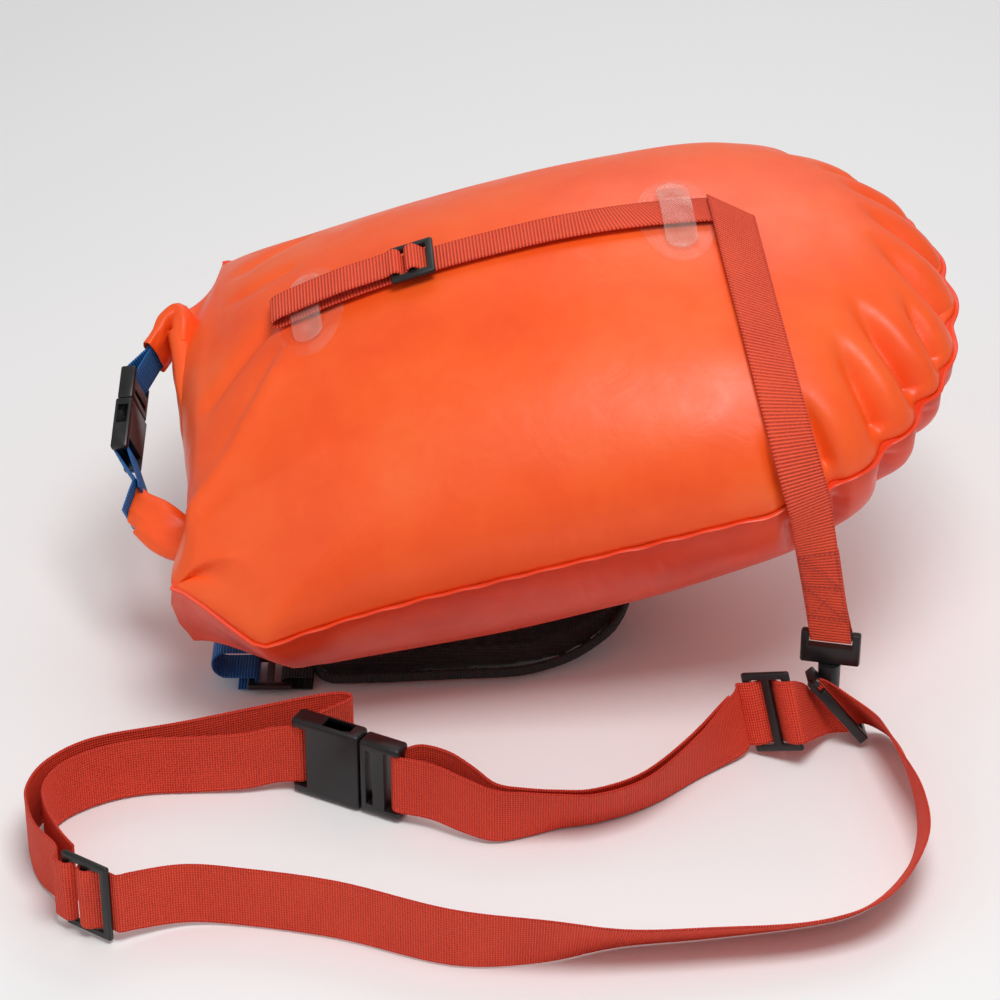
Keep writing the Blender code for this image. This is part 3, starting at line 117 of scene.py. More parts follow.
def dress(obj, material, body="buoy", nodes=()):
    obj.data.materials.clear()
    obj.data.materials.append(material)
    if body:
        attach(obj, body)
    if nodes:
        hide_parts(*nodes)
    return obj


def smoothPath(points, steps):
    path = []
    last = len(points) - 1
    for index in range(last):
        before = points[max(index - 1, 0)]
        start, end = points[index], points[index + 1]
        after = points[min(index + 2, last)]
        for step in range(steps):
            t = step / steps
            path.append(0.5 * (2 * start + (end - before) * t
                               + (2 * before - 5 * start + 4 * end - after) * t ** 2
                               + (3 * start - before - 3 * end + after) * t ** 3))
    path.append(points[-1].copy())
    return path


def ease(value):
    value = max(0, min(1, value))
    return value * value * (3 - 2 * value)


def between(table, value):
    # reads a table of (place, result) pairs, in a straight line from each to the next
    for (low, first), (high, second) in zip(table, table[1:]):
        if value <= high:
            share = max(0, (value - low) / (high - low))
            return first * (1 - share) + second * share
    return table[-1][1]


def heading(path, index):
    # the way that a path runs at one of its points
    return path[min(index + 1, len(path) - 1)] - path[max(index - 1, 0)]


def boxy(value, power):
    # pushes a round section towards a box
    return math.copysign(abs(value) ** power, value)


def ripple(size, *place):
    return size * noise.noise(Vector(place))


def thicken(obj, thickness):
    shell = obj.modifiers.new("film", "SOLIDIFY")
    shell.thickness = thickness
    shell.offset = -1


# Materials: each is a small tree of nodes. What is the same all over stands on the shader's own sockets.

def startMaterial(name, colour, roughness, sockets={}):
    made = bpy.data.materials.new(name)
    made.use_nodes = True
    shader = made.node_tree.nodes["Principled BSDF"]
    for socket, value in {"Base Color": (*colour, 1), "Roughness": roughness, **sockets}.items():
        shader.inputs[socket].default_value = value
    made.diffuse_color = (*colour, 1)
    return made, made.node_tree, shader


def addNode(tree, kind, vector=None, **values):
    made = tree.nodes.new(kind)
    for key, value in values.items():
        made.inputs[key].default_value = value
    if vector:
        tree.links.new(vector, made.inputs["Vector"])
    return made


def objectPlace(tree):
    return addNode(tree, "ShaderNodeTexCoord").outputs["Object"]


def texture(tree, kind, place, output="Fac", **values):
    return addNode(tree, "ShaderNodeTex" + kind, place, **values).outputs[output]


def paint(tree, shader, socket, source, *stops):
    # a texture sets a socket: stops are (place, colour), or (place, number) for a plain value
    made = tree.nodes.new("ShaderNodeValToRGB")
    while len(made.color_ramp.elements) < len(stops):
        made.color_ramp.elements.new(0.5)
    for element, (place, colour) in zip(made.color_ramp.elements, stops):
        element.position = place
        element.color = (*colour, 1) if isinstance(colour, tuple) else (colour, colour, colour, 1)
    tree.links.new(source, made.inputs["Fac"])
    tree.links.new(made.outputs["Color"], shader.inputs[socket])


def combine(tree, operation, first, second=0):
    made = tree.nodes.new("ShaderNodeMath")
    made.operation = operation
    for index, value in enumerate((first, second)):
        if isinstance(value, (int, float)):
            made.inputs[index].default_value = value
        else:
            tree.links.new(value, made.inputs[index])
    return made.outputs[0]


def weigh(tree, *pairs):
    # adds up (socket, weight) pairs
    total = combine(tree, "MULTIPLY", *pairs[0])
    for socket, weight in pairs[1:]:
        total = combine(tree, "ADD", total, combine(tree, "MULTIPLY", socket, weight))
    return total


def addBump(tree, shader, height, strength, distance):
    made = addNode(tree, "ShaderNodeBump", Strength=strength, Distance=distance)
    tree.links.new(height, made.inputs["Height"])
    tree.links.new(made.outputs["Normal"], shader.inputs["Normal"])


filmLooks = {
    "coat": {"Coat Weight": 0.05, "Coat Roughness": 0.35, "Specular IOR Level": 0.4},
    "cloudSize": 11.0, "creaseSize": 34.0, "weaveSize": 1100.0, "gloss": (0.33, 0.47), "relief": 0.0011,
}


def filmMaterial(name, light, deep, pale):
    # coated cloth: a smooth film over a fine weave, with soft creases; its colour wanders in random clouds
    # between a painted shade tone and a painted lit tone
    low, high = filmLooks["gloss"]
    made, tree, shader = startMaterial(name, light, low, filmLooks["coat"])
    place = objectPlace(tree)
    shadeAndLitClouds = texture(tree, "Noise", place, Scale=filmLooks["cloudSize"], Detail=5.0, Roughness=0.6)
    creases = texture(tree, "Noise", place, Scale=filmLooks["creaseSize"], Detail=6.0, Roughness=0.55,
                      Distortion=0.6)
    weave = texture(tree, "Voronoi", place, "Distance", Scale=filmLooks["weaveSize"])
    # partly painted light: the dark and pale ends of these clouds are shaded and lit film colours, spread at
    # random
    paint(tree, shader, "Base Color", shadeAndLitClouds, (0.30, deep), (0.52, light), (0.76, pale))
    paint(tree, shader, "Roughness", creases, (0.35, low), (0.7, high))
    addBump(tree, shader, weigh(tree, (creases, 1.0), (weave, 0.05)), 0.5, filmLooks["relief"])
    return made


webbingLooks = {
    "selvedge": 0.0016, "roughness": 0.74, "sheen": {"Sheen Weight": 0.12, "Sheen Roughness": 0.4},
    "fuzzSize": 900.0, "patchSize": 24.0, "relief": 0.24,
}


def webbingMaterial(name, light, deep, width, rib, grid=0.0):
    # flat woven webbing: ribs across it, painted lighter on their crests and darker between them as painted
    # highlight and shade, the twist of the yarns in them, and tight selvedges
    sheen = {**webbingLooks["sheen"], "Sheen Tint": (*light, 1)}
    made, tree, shader = startMaterial(name, light, webbingLooks["roughness"], sheen)
    coordinates = addNode(tree, "ShaderNodeTexCoord")
    split = addNode(tree, "ShaderNodeSeparateXYZ", coordinates.outputs["UV"])
    along, across = split.outputs["X"], split.outputs["Y"]
    turn = 2 * math.pi / rib
    ribs = combine(tree, "SINE", weigh(tree, (along, turn)))
    yarns = combine(tree, "SINE", weigh(tree, (across, turn * 1.7), (along, turn / 2)))
    lengthways = combine(tree, "SINE", weigh(tree, (across, turn * 0.9)))
    edge = combine(tree, "ABSOLUTE", across)
    selvedge = combine(tree, "GREATER_THAN", edge, width / 2 - webbingLooks["selvedge"])
    place = coordinates.outputs["Object"]
    fuzz = texture(tree, "Noise", place, Scale=webbingLooks["fuzzSize"], Detail=3.0)
    patchy = texture(tree, "Noise", place, Scale=webbingLooks["patchSize"], Detail=4.0)
    # the ribs' colour term is painted light: lighter crests as painted highlight, darker grooves as painted
    # shade
    shade = weigh(tree, (ribs, 0.20), (yarns, 0.02), (lengthways, grid), (fuzz, 0.35), (patchy, 0.28),
                  (selvedge, -0.10))
    paint(tree, shader, "Base Color", shade, (0.0, deep), (0.42, light))
    height = weigh(tree, (ribs, 1.0), (yarns, 0.1), (lengthways, grid * 4), (fuzz, 0.5))
    addBump(tree, shader, height, 0.8, rib * webbingLooks["relief"])
    return made


def plasticMaterial(name, light, deep, roughness):
    # moulded plastic: a fine grain, with paler worn patches
    made, tree, shader = startMaterial(name, light, roughness)
    place = objectPlace(tree)
    grain = texture(tree, "Noise", place, Scale=1400.0, Detail=2.0)
    wear = texture(tree, "Noise", place, Scale=70.0, Detail=5.0)
    paint(tree, shader, "Base Color", wear, (0.35, deep), (0.75, light))
    paint(tree, shader, "Roughness", wear, (0.3, roughness - 0.06), (0.7, roughness + 0.08))
    addBump(tree, shader, weigh(tree, (grain, 0.7), (wear, 0.6)), 0.3, 0.00025)
    return made


def clearMaterial(name, colour, alpha):
    # clear welded film, a little milky where it is rubbed
    made, tree, shader = startMaterial(name, colour, 0.14, {"Coat Weight": 1.0, "Coat Roughness": 0.12})
    rubs = texture(tree, "Noise", objectPlace(tree), Scale=60.0, Detail=1.0, Distortion=0.8)
    paint(tree, shader, "Base Color", rubs, (0.3, tuple(c * 0.82 for c in colour)), (0.7, colour))
    paint(tree, shader, "Alpha", rubs, (0.35, alpha * 0.7), (0.75, alpha * 1.35))
    addBump(tree, shader, rubs, 0.2, 0.0006)
    return made


def padMaterial(name, light, deep):
    # black spacer mesh: small holes in rows
    made, tree, shader = startMaterial(name, light, 0.9, {"Sheen Weight": 0.4})
    place = objectPlace(tree)
    holes = texture(tree, "Voronoi", place, "Distance", Scale=420.0, Randomness=0.25)
    soft = texture(tree, "Noise", place, Scale=40.0, Detail=4.0)
    paint(tree, shader, "Base Color", combine(tree, "MULTIPLY", holes, soft), (0.02, light), (0.32, deep))
    addBump(tree, shader, holes, 0.7, 0.0008)
    return made


def threadMaterial(name, light, deep):
    # twisted thread: its strands show as fine slanting lines
    made, tree, shader = startMaterial(name, light, 0.6, {"Sheen Weight": 0.3})
    strands = texture(tree, "Wave", objectPlace(tree), Scale=900.0, Distortion=1.5)
    paint(tree, shader, "Base Color", strands, (0.2, deep), (0.8, light))
    addBump(tree, shader, strands, 0.5, 0.0002)
    return made


def steelMaterial(name, light, deep):
    # a drawn steel pin: fine lines round it
    made, tree, shader = startMaterial(name, light, 0.28, {"Metallic": 1.0})
    drawLines = texture(tree, "Noise", objectPlace(tree), Scale=500.0, Detail=3.0)
    paint(tree, shader, "Base Color", drawLines, (0.3, deep), (0.7, light))
    addBump(tree, shader, drawLines, 0.2, 0.0001)
    return made


orangeFilm = filmMaterial("orangeFilm", (1.0, 0.110, 0.014), (0.93, 0.082, 0.009), (1.0, 0.145, 0.026))
# a darker copy of the same orange film, as painted shade: the rear panel, the seam, the anchors and the rear
# skin wear it
paintedShadeFilm = filmMaterial("deepOrangeFilm", (0.86, 0.056, 0.010), (0.72, 0.038, 0.007), (0.92, 0.082, 0.016))
redWebbing = webbingMaterial("redWebbing", (1.0, 0.105, 0.035), (0.46, 0.014, 0.008), 0.025, 0.0021)
beltWebbing = webbingMaterial("redBeltWebbing", (1.0, 0.08, 0.028), (0.5, 0.014, 0.008), 0.040, 0.0015, 0.14)
blueWebbing = webbingMaterial("blueWebbing", (0.02, 0.20, 0.56), (0.006, 0.05, 0.22), 0.025, 0.0018)
blackWebbing = webbingMaterial("blackWebbing", (0.022, 0.022, 0.024), (0.005, 0.005, 0.006), 0.025, 0.0018)
blackPlastic = plasticMaterial("blackPlastic", (0.014, 0.014, 0.015), (0.006, 0.006, 0.007), 0.36)
clearFilm = clearMaterial("clearFilm", (1.0, 0.55, 0.42), 0.07)
clearStrap = clearMaterial("clearStrap", (1.0, 0.60, 0.52), 0.15)
padMesh = padMaterial("padMesh", (0.022, 0.022, 0.025), (0.004, 0.004, 0.005))
greySheet = plasticMaterial("greySheet", (0.13, 0.13, 0.14), (0.09, 0.09, 0.10), 0.5)
greyFilm = filmMaterial("greySleeveFilm", (0.30, 0.31, 0.33), (0.22, 0.23, 0.25), (0.38, 0.39, 0.41))
blueCollar = plasticMaterial("blueCollar", (0.03, 0.16, 0.42), (0.02, 0.11, 0.32), 0.4)
pinSteel = steelMaterial("pinSteel", (0.62, 0.62, 0.62), (0.45, 0.45, 0.46))
redThread = threadMaterial("redThread", (0.60, 0.045, 0.025), (0.25, 0.012, 0.008))
blackThread = threadMaterial("blackThread", (0.03, 0.03, 0.032), (0.008, 0.008, 0.009))
print("materials made")

# The bag: two panels welded together, drawn as lofts in the bag's own frame.

bagSizes = {
    "length": 0.5045, "width": 0.350, "frontRise": 0.105, "rearRise": 0.120, "neckStart": 0.036,
    "flareReach": 0.160, "flareShare": 0.14, "neckRise": 0.124, "widthFall": 0.70, "riseFall": 0.513,
    "neckFall": 0.483, "widthPower": 2.04, "risePower": 1.83, "neckPower": 2.155,
    "rings": 210, "steps": 168, "lips": 9, "film": 0.0007,
    # where the bag and its roll lie, and their turns in degrees
    "place": (-0.211, 0.113, 0.092), "turn": (8, -14, 3), "rollPlace": (0.0284, 0, 0.030), "rollTurn": 20,
}
bagMatrix = frameMatrix(drawn(*bagSizes["place"]), [math.radians(turn) for turn in bagSizes["turn"]])
bagLength = bagSizes["length"]
neckStart = bagSizes["neckStart"]
rollMatrix = bagMatrix @ frameMatrix(bagSizes["rollPlace"], (math.radians(bagSizes["rollTurn"]), 0, 0))


def fall(along, startShare, power):
    start = startShare * bagLength
    far = min(max((along - start) / (bagLength - start), 0), 1)
    return max(0, 1 - far ** power) ** (1 / power)


def halfWidth(along):
    flare = max(0, 1 - along / bagSizes["flareReach"]) ** 2 * bagSizes["flareShare"]
    return bagSizes["width"] / 2 * fall(along, bagSizes["widthFall"], bagSizes["widthPower"]) * (1 + flare)


def riseShare(along):
    reach = bagSizes["neckFall"] * bagLength
    near = min(max((reach - along) / reach, 0), 1)
    power = bagSizes["neckPower"]
    neck = bagSizes["neckRise"] + (1 - bagSizes["neckRise"]) * max(0, 1 - near ** power) ** (1 / power)
    return neck * fall(along, bagSizes["riseFall"], bagSizes["risePower"])


def bagPoint(along, angle, proud=0.0):
    rise = bagSizes["frontRise"] if math.sin(angle) >= 0 else bagSizes["rearRise"]
    point = Vector((along, halfWidth(along) * math.cos(angle), rise * riseShare(along) * math.sin(angle)))
    if proud:
        point += proud * bagNormal(along, angle)
    return point


def bagNormal(along, angle):
    step = bagLength / 1000
    over = bagPoint(along + step, angle) - bagPoint(along - step, angle)
    roundIt = bagPoint(along, angle + 0.01) - bagPoint(along, angle - 0.01)
    return roundIt.cross(over).normalized()


# Folds in the film: from and to, each (along, sideways), height (below zero is a valley) and half width.
# Pleats gather the closed end: each starts at the seam and pulls it in.
endPleats = (
    (0.4676, -0.1129, 0.444, -0.07, -0.012, 0.0085), (0.4411, -0.1428, 0.428, -0.102, -0.011, 0.0085),
    (0.4994, -0.0447, 0.47, -0.01, -0.01, 0.008), (0.4856, -0.0864, 0.474, -0.056, -0.0075, 0.0055),
    (0.5025, 0.005, 0.47, 0.028, -0.0095, 0.007), (0.496, 0.054, 0.462, 0.065, -0.0085, 0.008),
    (0.4051, -0.165, 0.398, -0.138, -0.0075, 0.0065), (0.375, -0.174, 0.372, -0.156, -0.004, 0.005),
    (0.478, 0.098, 0.448, 0.09, -0.0085, 0.008), (0.448, 0.137, 0.426, 0.115, -0.0085, 0.008),
    (0.41, 0.162, 0.396, 0.138, -0.008, 0.007), (0.37, 0.174, 0.364, 0.156, -0.004, 0.0055),
)
frontFolds = endPleats + (
    (0.044, -0.03, 0.094, 0.01, -0.0045, 0.008), (0.0411, -0.1053, 0.096, -0.033, 0.005, 0.012),
    (0.056, -0.08, 0.09, -0.029, -0.003, 0.007), (0.04, -0.115, 0.068, -0.16, 0.0034, 0.01),
    (0.03, -0.133, 0.056, -0.175, -0.003, 0.007), (0.062, -0.118, 0.115, -0.108, 0.0026, 0.009),
    (0.062, 0.105, 0.11, 0.125, -0.004, 0.009), (0.06, 0.06, 0.105, 0.064, -0.003, 0.008),
    (0.1, -0.1268, 0.12, -0.1252, -0.0006, 0.0012), (0.109, -0.1246, 0.116, -0.1238, 0.0005, 0.0012),
)
rearFolds = endPleats + (
    (0.01, -0.136, 0.07, -0.155, -0.005, 0.007), (0.025, -0.142, 0.062, -0.165, 0.003, 0.006),
    (0.03, 0.12, 0.08, 0.135, -0.005, 0.008),
)
pleatPull = 0.55  # how far a pleat draws the seam in, as a share of its depth
wrinkles = {"from": 0.165, "to": 0.345, "pitch": 0.0125, "reach": 0.022, "depth": 0.0017, "soft": 0.0016}


def foldHeight(folds, along, side):
    total = 0.0
    for startX, startY, endX, endY, height, width in folds:
        runX, runY = endX - startX, endY - startY
        share = ((along - startX) * runX + (side - startY) * runY) / (runX * runX + runY * runY)
        offX = along - startX - share * runX
        offY = side - startY - share * runY
        off = (offX * offX + offY * offY) / (width * width)
        if share < -0.5 or share > 1.4 or off > 9:
            continue
        if startX > 0.3:  # a pleat runs out slowly, away from the seam
            fade = ease((1.35 - share) / 0.9)
        else:
            fade = ease((1.3 - share) / 0.5) * ease((share + 0.45) / 0.5)
        total += height * fade * math.exp(-abs(off) ** 0.75 * 1.4)
    return total


def pleatDraw(along, side):
    # the pleats draw the film and its seam in, in the plane of the seam
    total = Vector((0, 0, 0))
    for startX, startY, endX, endY, height, width in endPleats:
        run = Vector((endX - startX, endY - startY, 0))
        off = Vector((along - startX, side - startY, 0))
        share = off.dot(run) / run.length_squared
        apart = (off - run * share).length / (width * 1.25)
        if share <= 1.2 and apart < 3:
            total += run.normalized() * (-height * pleatPull * math.exp(-apart ** 2) * ease(1.1 - share))
    return total


def skinOffset(along, angle, front):
    side = halfWidth(along) * math.cos(angle)
    nearSeam = halfWidth(along) * (1 - abs(math.cos(angle)))
    depth = foldHeight(frontFolds if front else rearFolds, along, side)
    # short wrinkles stand on the seam where the sheets are drawn in
    place = along + ripple(0.004, along * 60, 2.0, 3.0 if front else 8.0)
    wave = max(0, math.sin(2 * math.pi * place / wrinkles["pitch"])) ** 2
    lively = 0.5 + ripple(0.9, along * 45, side * 5, 5.0 if front else 11.0)
    span = ease((along - wrinkles["from"]) / 0.06) * ease((wrinkles["to"] - along) / 0.06)
    rise = bagSizes["frontRise"] * riseShare(along) * abs(math.sin(angle))
    low = ease((wrinkles["reach"] + 0.012 - rise) / wrinkles["reach"])
    depth -= wrinkles["depth"] * wave * max(0, lively) * (0.35 + 0.65 * span) * low
    # slow waves in the blown-up skin
    slow = 0.5 + ripple(0.5, along * 14, angle * 2.4, 1.7 if front else 9.2)
    return depth - wrinkles["soft"] * slow * ease(nearSeam / 0.03)


# The neck's edge: how far along the front film it lies, by the angle round the bag.
ridge = ((0, 0.0528), (31.6, 0.0528), (52, 0.0545), (75, 0.0538), (88, 0.0476), (98.5, 0.0452), (105, 0.0441),
         (113, 0.0402), (121, 0.0355), (131, 0.0263), (138.6, 0.0125), (180, 0.0125))
nearCorner = Vector((0.012, -0.147, 0.030))
farCorner = Vector((0.0528, 0.1584, 0.0387))
# the same edge round the rear, as places in the bag's frame
rearEdge = ((-180, nearCorner), (-168, Vector((0.0055, -0.138, 0.010))),
            (-156, Vector((0.0040, -0.131, -0.012))),
            (-142, Vector((0.0080, -0.128, -0.030))), (-128, Vector((0.0170, -0.118, -0.041))),
            (-110, Vector((0.0280, -0.070, -0.042))), (-90, Vector((0.0320, 0.0, -0.040))),
            (-60, Vector((0.0340, 0.090, -0.033))), (-40, Vector((0.0340, 0.130, -0.018))),
            (-25, Vector((0.0380, 0.146, 0.002))), (-12, Vector((0.0460, 0.155, 0.022))), (0, farCorner))


def neckEdge(degrees, front):
    if not front:
        return between(rearEdge, degrees)
    if degrees <= ridge[1][0]:
        return farCorner
    if degrees >= ridge[-2][0]:
        return nearCorner
    along = (between(ridge, degrees - 2) + between(ridge, degrees + 2)) / 2
    point = bagPoint(along, math.radians(degrees))
    point = point.lerp(farCorner, ease((ridge[1][0] + 8 - degrees) / 8))
    return point.lerp(nearCorner, ease((degrees - ridge[-2][0] + 8) / 8))


# how far the drawn-in neck reaches along the film: at the seam, over each panel, and more at the far corner
neckDraw = {"seam": 0.024, "front": 0.085, "rear": 0.020, "farCorner": 0.03, "span": 42}


def skinPoint(along, angle, front, folded=True):
    # a place on the finished film, with the neck drawn in to its edge
    point = bagPoint(along, angle)
    if folded:
        edgeFade = ease((halfWidth(along) - abs(point.y)) / 0.003)
        point += bagNormal(along, angle) * skinOffset(along, angle, front) * (0.25 + 0.75 * edgeFade)
    if along > 0.34:
        point += pleatDraw(along, halfWidth(along) * math.cos(angle))
    degrees = math.degrees(angle)
    offSeam = ease(min(abs(degrees), 180 - abs(degrees)) / neckDraw["span"])
    reach = neckDraw["seam"] + neckDraw["front" if front else "rear"] * offSeam
    if abs(degrees) < 90:
        reach += neckDraw["farCorner"] * (1 - offSeam)
    fade = ease(1 - (along - neckStart) / reach) if along < neckStart + reach else 0
    if fade:
        point += (neckEdge(degrees, front) - bagPoint(neckStart, angle)) * fade
    return point


def lipPoint(degrees, share, front):
    # beyond the neck's edge the film turns over and runs down to the roll; both panels meet at the seam
    start = neckEdge(degrees, front)
    apart = ease(min(abs(degrees), 180 - abs(degrees)) / 34)
    way = 1 if front else -1
    side = max(-0.074, min(0.078, start.y * 0.60))
    place = Vector((-0.0047 - 0.0017 * way * apart, side, -0.004 + 0.015 * way * apart))
    end = bagMatrix.inverted() @ rollMatrix @ place
    turn = Vector((-0.0065, 0, 0.0035)) if front else Vector((-0.004, 0, -0.004))
    if front:
        turn = Vector((0.005, -0.016, -0.006)).lerp(turn, ease((degrees - 42) / 34))
    seamTurn = Vector((0.006, -0.030, -0.012)) if abs(degrees) < 90 else Vector((-0.005, 0.004, -0.002))
    bend = start.lerp(end, 0.34) + seamTurn.lerp(turn, apart)
    return start * (1 - share) ** 2 + bend * 2 * share * (1 - share) + end * share ** 2


def panel(name, front, material, node):
    points, uvs = [], []
    rings, steps, lips = bagSizes["rings"], bagSizes["steps"], bagSizes["lips"]
    way = 1 if front else -1
    for k in range(-lips, rings + 1):
        turn = math.pi / 2 * (max(k, 0) / rings) ** 0.96  # the rings lie closer at the far end
        base = neckStart + (bagLength - 0.00002 - neckStart) * math.sin(turn)
        for step in range(steps + 1):
            angle = way * math.pi * step / steps
            if k < 0:
                point = lipPoint(math.degrees(angle), -k / lips, front)
                sag = ripple(0.0012, *(point * 60))
                point += Vector((sag, 0, sag)) * ease(-k / 4)
            else:
                point = skinPoint(base, angle, front)
                # the two films part a little beside the seam
                point.z += 0.0009 * way * abs(math.cos(angle)) ** 6 * ease((base - neckStart) / 0.02)
            points.append(bagMatrix @ point)
            uvs.append((base + min(k, 0) * 0.003, angle * 0.15))
    made = addMesh(name, points, gridFaces(rings + lips + 1, steps + 1, 0, front), uvs)
    face = made.data.polygons[len(made.data.polygons) // 2]
    if face.normal.dot(face.center - bagMatrix @ Vector((0.25, 0, 0))) < 0:
        made.data.flip_normals()
    thicken(made, bagSizes["film"])
    return dress(made, material, nodes=[node])


panel("frontPanel", True, orangeFilm, "front_chamber")
# the rear panel is the same orange film, painted darker as painted shade
rearPanel = panel("rearPanel", False, paintedShadeFilm, "rear_chamber")
print("bag panels lofted")

# The dry sleeve hangs slack inside, hidden by the panels.
sleeve = {
    "from": 0.085, "to": 0.400, "widthShare": 0.66, "riseShare": 0.22, "slack": 0.18,
    "rings": 44, "steps": 48, "film": 0.0005,
}


def drySleeve():
    points = []
    rings, steps = sleeve["rings"], sleeve["steps"]
    for k in range(rings + 1):
        along = sleeve["from"] + (sleeve["to"] - sleeve["from"]) * k / rings
        shut = ease((sleeve["to"] - along) / 0.03) * 0.9 + 0.1  # its far end is welded nearly flat
        for step in range(steps):
            angle = 2 * math.pi * step / steps
            point = bagPoint(along, angle)
            slack = 1 + ripple(sleeve["slack"], along * 22, math.cos(angle) * 2, 4.0)
            point.y *= sleeve["widthShare"]
            point.z *= sleeve["riseShare"] * slack * shut
            points.append(bagMatrix @ point)
    made = addMesh("drySleeve", points, tubeFaces(rings + 1, steps, caps=(False, True)))
    thicken(made, sleeve["film"])
    dress(made, greyFilm, nodes=["dry_sleeve"])


drySleeve()

seam = {"inside": 0.0070, "outside": 0.0026, "half": 0.0008, "stations": 150}


def seamFlange():
    # the flat welded edge all round, a little wavy, with a pressed line
    count = seam["stations"]
    places = [neckStart + (bagLength - neckStart) * math.sin(math.pi / 2 * k / count) for k in range(count)]
    tip = Vector((bagLength, 0, 0)) + pleatDraw(bagLength, 0)
    edge = [skinPoint(along, 0.0, True, False) for along in places] + [tip]
    edge += [skinPoint(along, math.pi, True, False) for along in reversed(places)]
    # how far out, and how thick
    columns = [(-seam["inside"], 0.7), (-0.004, 1.1), (-0.0015, 1.0), (-0.0004, 0.55), (0.0006, 1.0),
               (seam["outside"] - 0.0006, 0.9), (seam["outside"], 0.3)]
    profile = columns + [(x, -h) for x, h in reversed(columns)]
    points, uvs = [], []
    run = 0.0
    for index, point in enumerate(edge):
        way = heading(edge, index)
        out = Vector((-way.y, way.x, 0)).normalized()
        if index:
            run += (point - edge[index - 1]).length
        wave = 0.0005 * math.sin(run * 260) + ripple(0.0008, run * 40, 0, 0)
        for reach, high in profile:
            rise = high * seam["half"] + wave * ease((reach + 0.002) / 0.004)
            points.append(bagMatrix @ (point + out * reach + Vector((0, 0, rise))))
            uvs.append((run, reach))
    made = addMesh("seamFlange", points, tubeFaces(len(edge), len(profile)), uvs, 50)
    # the seam wears the darker copy of the film, which is painted shade
    dress(made, paintedShadeFilm, nodes=["rim_weld"])


seamFlange()
print("seam made")

# The rolled mouth and its two folded ends, in the roll's own frame.

roll = {
    "half": 0.012, "thickness": 0.014, "sheet": 0.0018, "pitch": 0.0027, "turns": 1.5, "reach": 0.0655,
    "columns": 44, "wave": 0.0011,
}


def rolledMouth():
    outer = (roll["thickness"] - roll["sheet"]) / 2
    path = [Vector((outer, 0, -roll["half"] - 0.010)), Vector((outer, 0, -roll["half"]))]
    for index in range(int(2 * roll["turns"])):
        up = 1 if index % 2 == 0 else -1
        for step in range(11):
            angle = math.pi * (index + step / 10)
            radius = outer - roll["pitch"] * angle / (2 * math.pi)
            path.append(Vector((radius * math.cos(angle), 0, up * roll["half"] + radius * math.sin(angle))))
    half = roll["sheet"] / 2
    ways = [heading(path, index) for index in range(len(path))]
    outs = [Vector((way.z, 0, -way.x)).normalized() * half for way in ways]
    section = [point + out for point, out in zip(path, outs)]
    section += [point - out for point, out in zip(path, outs)][::-1]
    points, uvs = [], []
    for k in range(roll["columns"] + 1):
        side = -roll["reach"] + 2 * roll["reach"] * k / roll["columns"]
        for index, point in enumerate(section):
            wave = ripple(roll["wave"], side * 55, point.z * 60, 4.0)
            points.append(rollMatrix @ Vector((point.x + wave, side, point.z + wave * 0.6)))
            uvs.append((side, index * 0.002))
    faces = tubeFaces(roll["columns"] + 1, len(section), caps=(False, False))
    made = addMesh("rolledMouth", points, faces, uvs, 50)
    dress(made, orangeFilm, nodes=["rolled_mouth"])


rolledMouth()

# Stations of each end: its middle, the way it is wide, half its width and half its thickness.
upperEnd = (
    ((0.0010, 0.0560, 0.000), (0.0, 0.0, 1.0), 0.0180, 0.0072),
    ((0.0030, 0.0680, 0.000), (0.0, 0.0, 1.0), 0.0185, 0.0078),
    ((0.0020, 0.0790, 0.001), (0.0, 0.05, 1.0), 0.0185, 0.0080),
    ((-0.0050, 0.0770, 0.001), (0.0, 0.03, 1.0), 0.0182, 0.0062),
    ((-0.0120, 0.0690, 0.000), (0.0, 0.0, 1.0), 0.0178, 0.0052),
    ((-0.0190, 0.0605, 0.000), (0.0, 0.0, 1.0), 0.0178, 0.0048),
)
lowerEnd = (
    ((0.0010, -0.0560, 0.000), (0.0, 0.0, 1.0), 0.0180, 0.0072),
    ((-0.0010, -0.0690, 0.000), (0.15, -0.25, 1.0), 0.0180, 0.0075),
    ((-0.0080, -0.0790, 0.000), (0.35, -0.80, 0.55), 0.0170, 0.0070),
    ((-0.0190, -0.0755, 0.000), (0.10, -1.0, 0.16), 0.0165, 0.0060),
    ((-0.0310, -0.0620, 0.001), (-0.20, -1.0, 0.0), 0.0150, 0.0055),
    ((-0.0435, -0.0447, 0.001), (-0.40, -0.92, 0.0), 0.0128, 0.0050),
)


rollEndLooks = {"steps": 7, "size": 48, "width": 0.62, "thickness": 0.80, "crease": 0.0016}
# the hollow tip: how deep each ring lies, and how far it shrinks
hollowTip = ((0.0, 0.80), (0.002, 0.68), (0.008, 0.55), (0.014, 0.42))


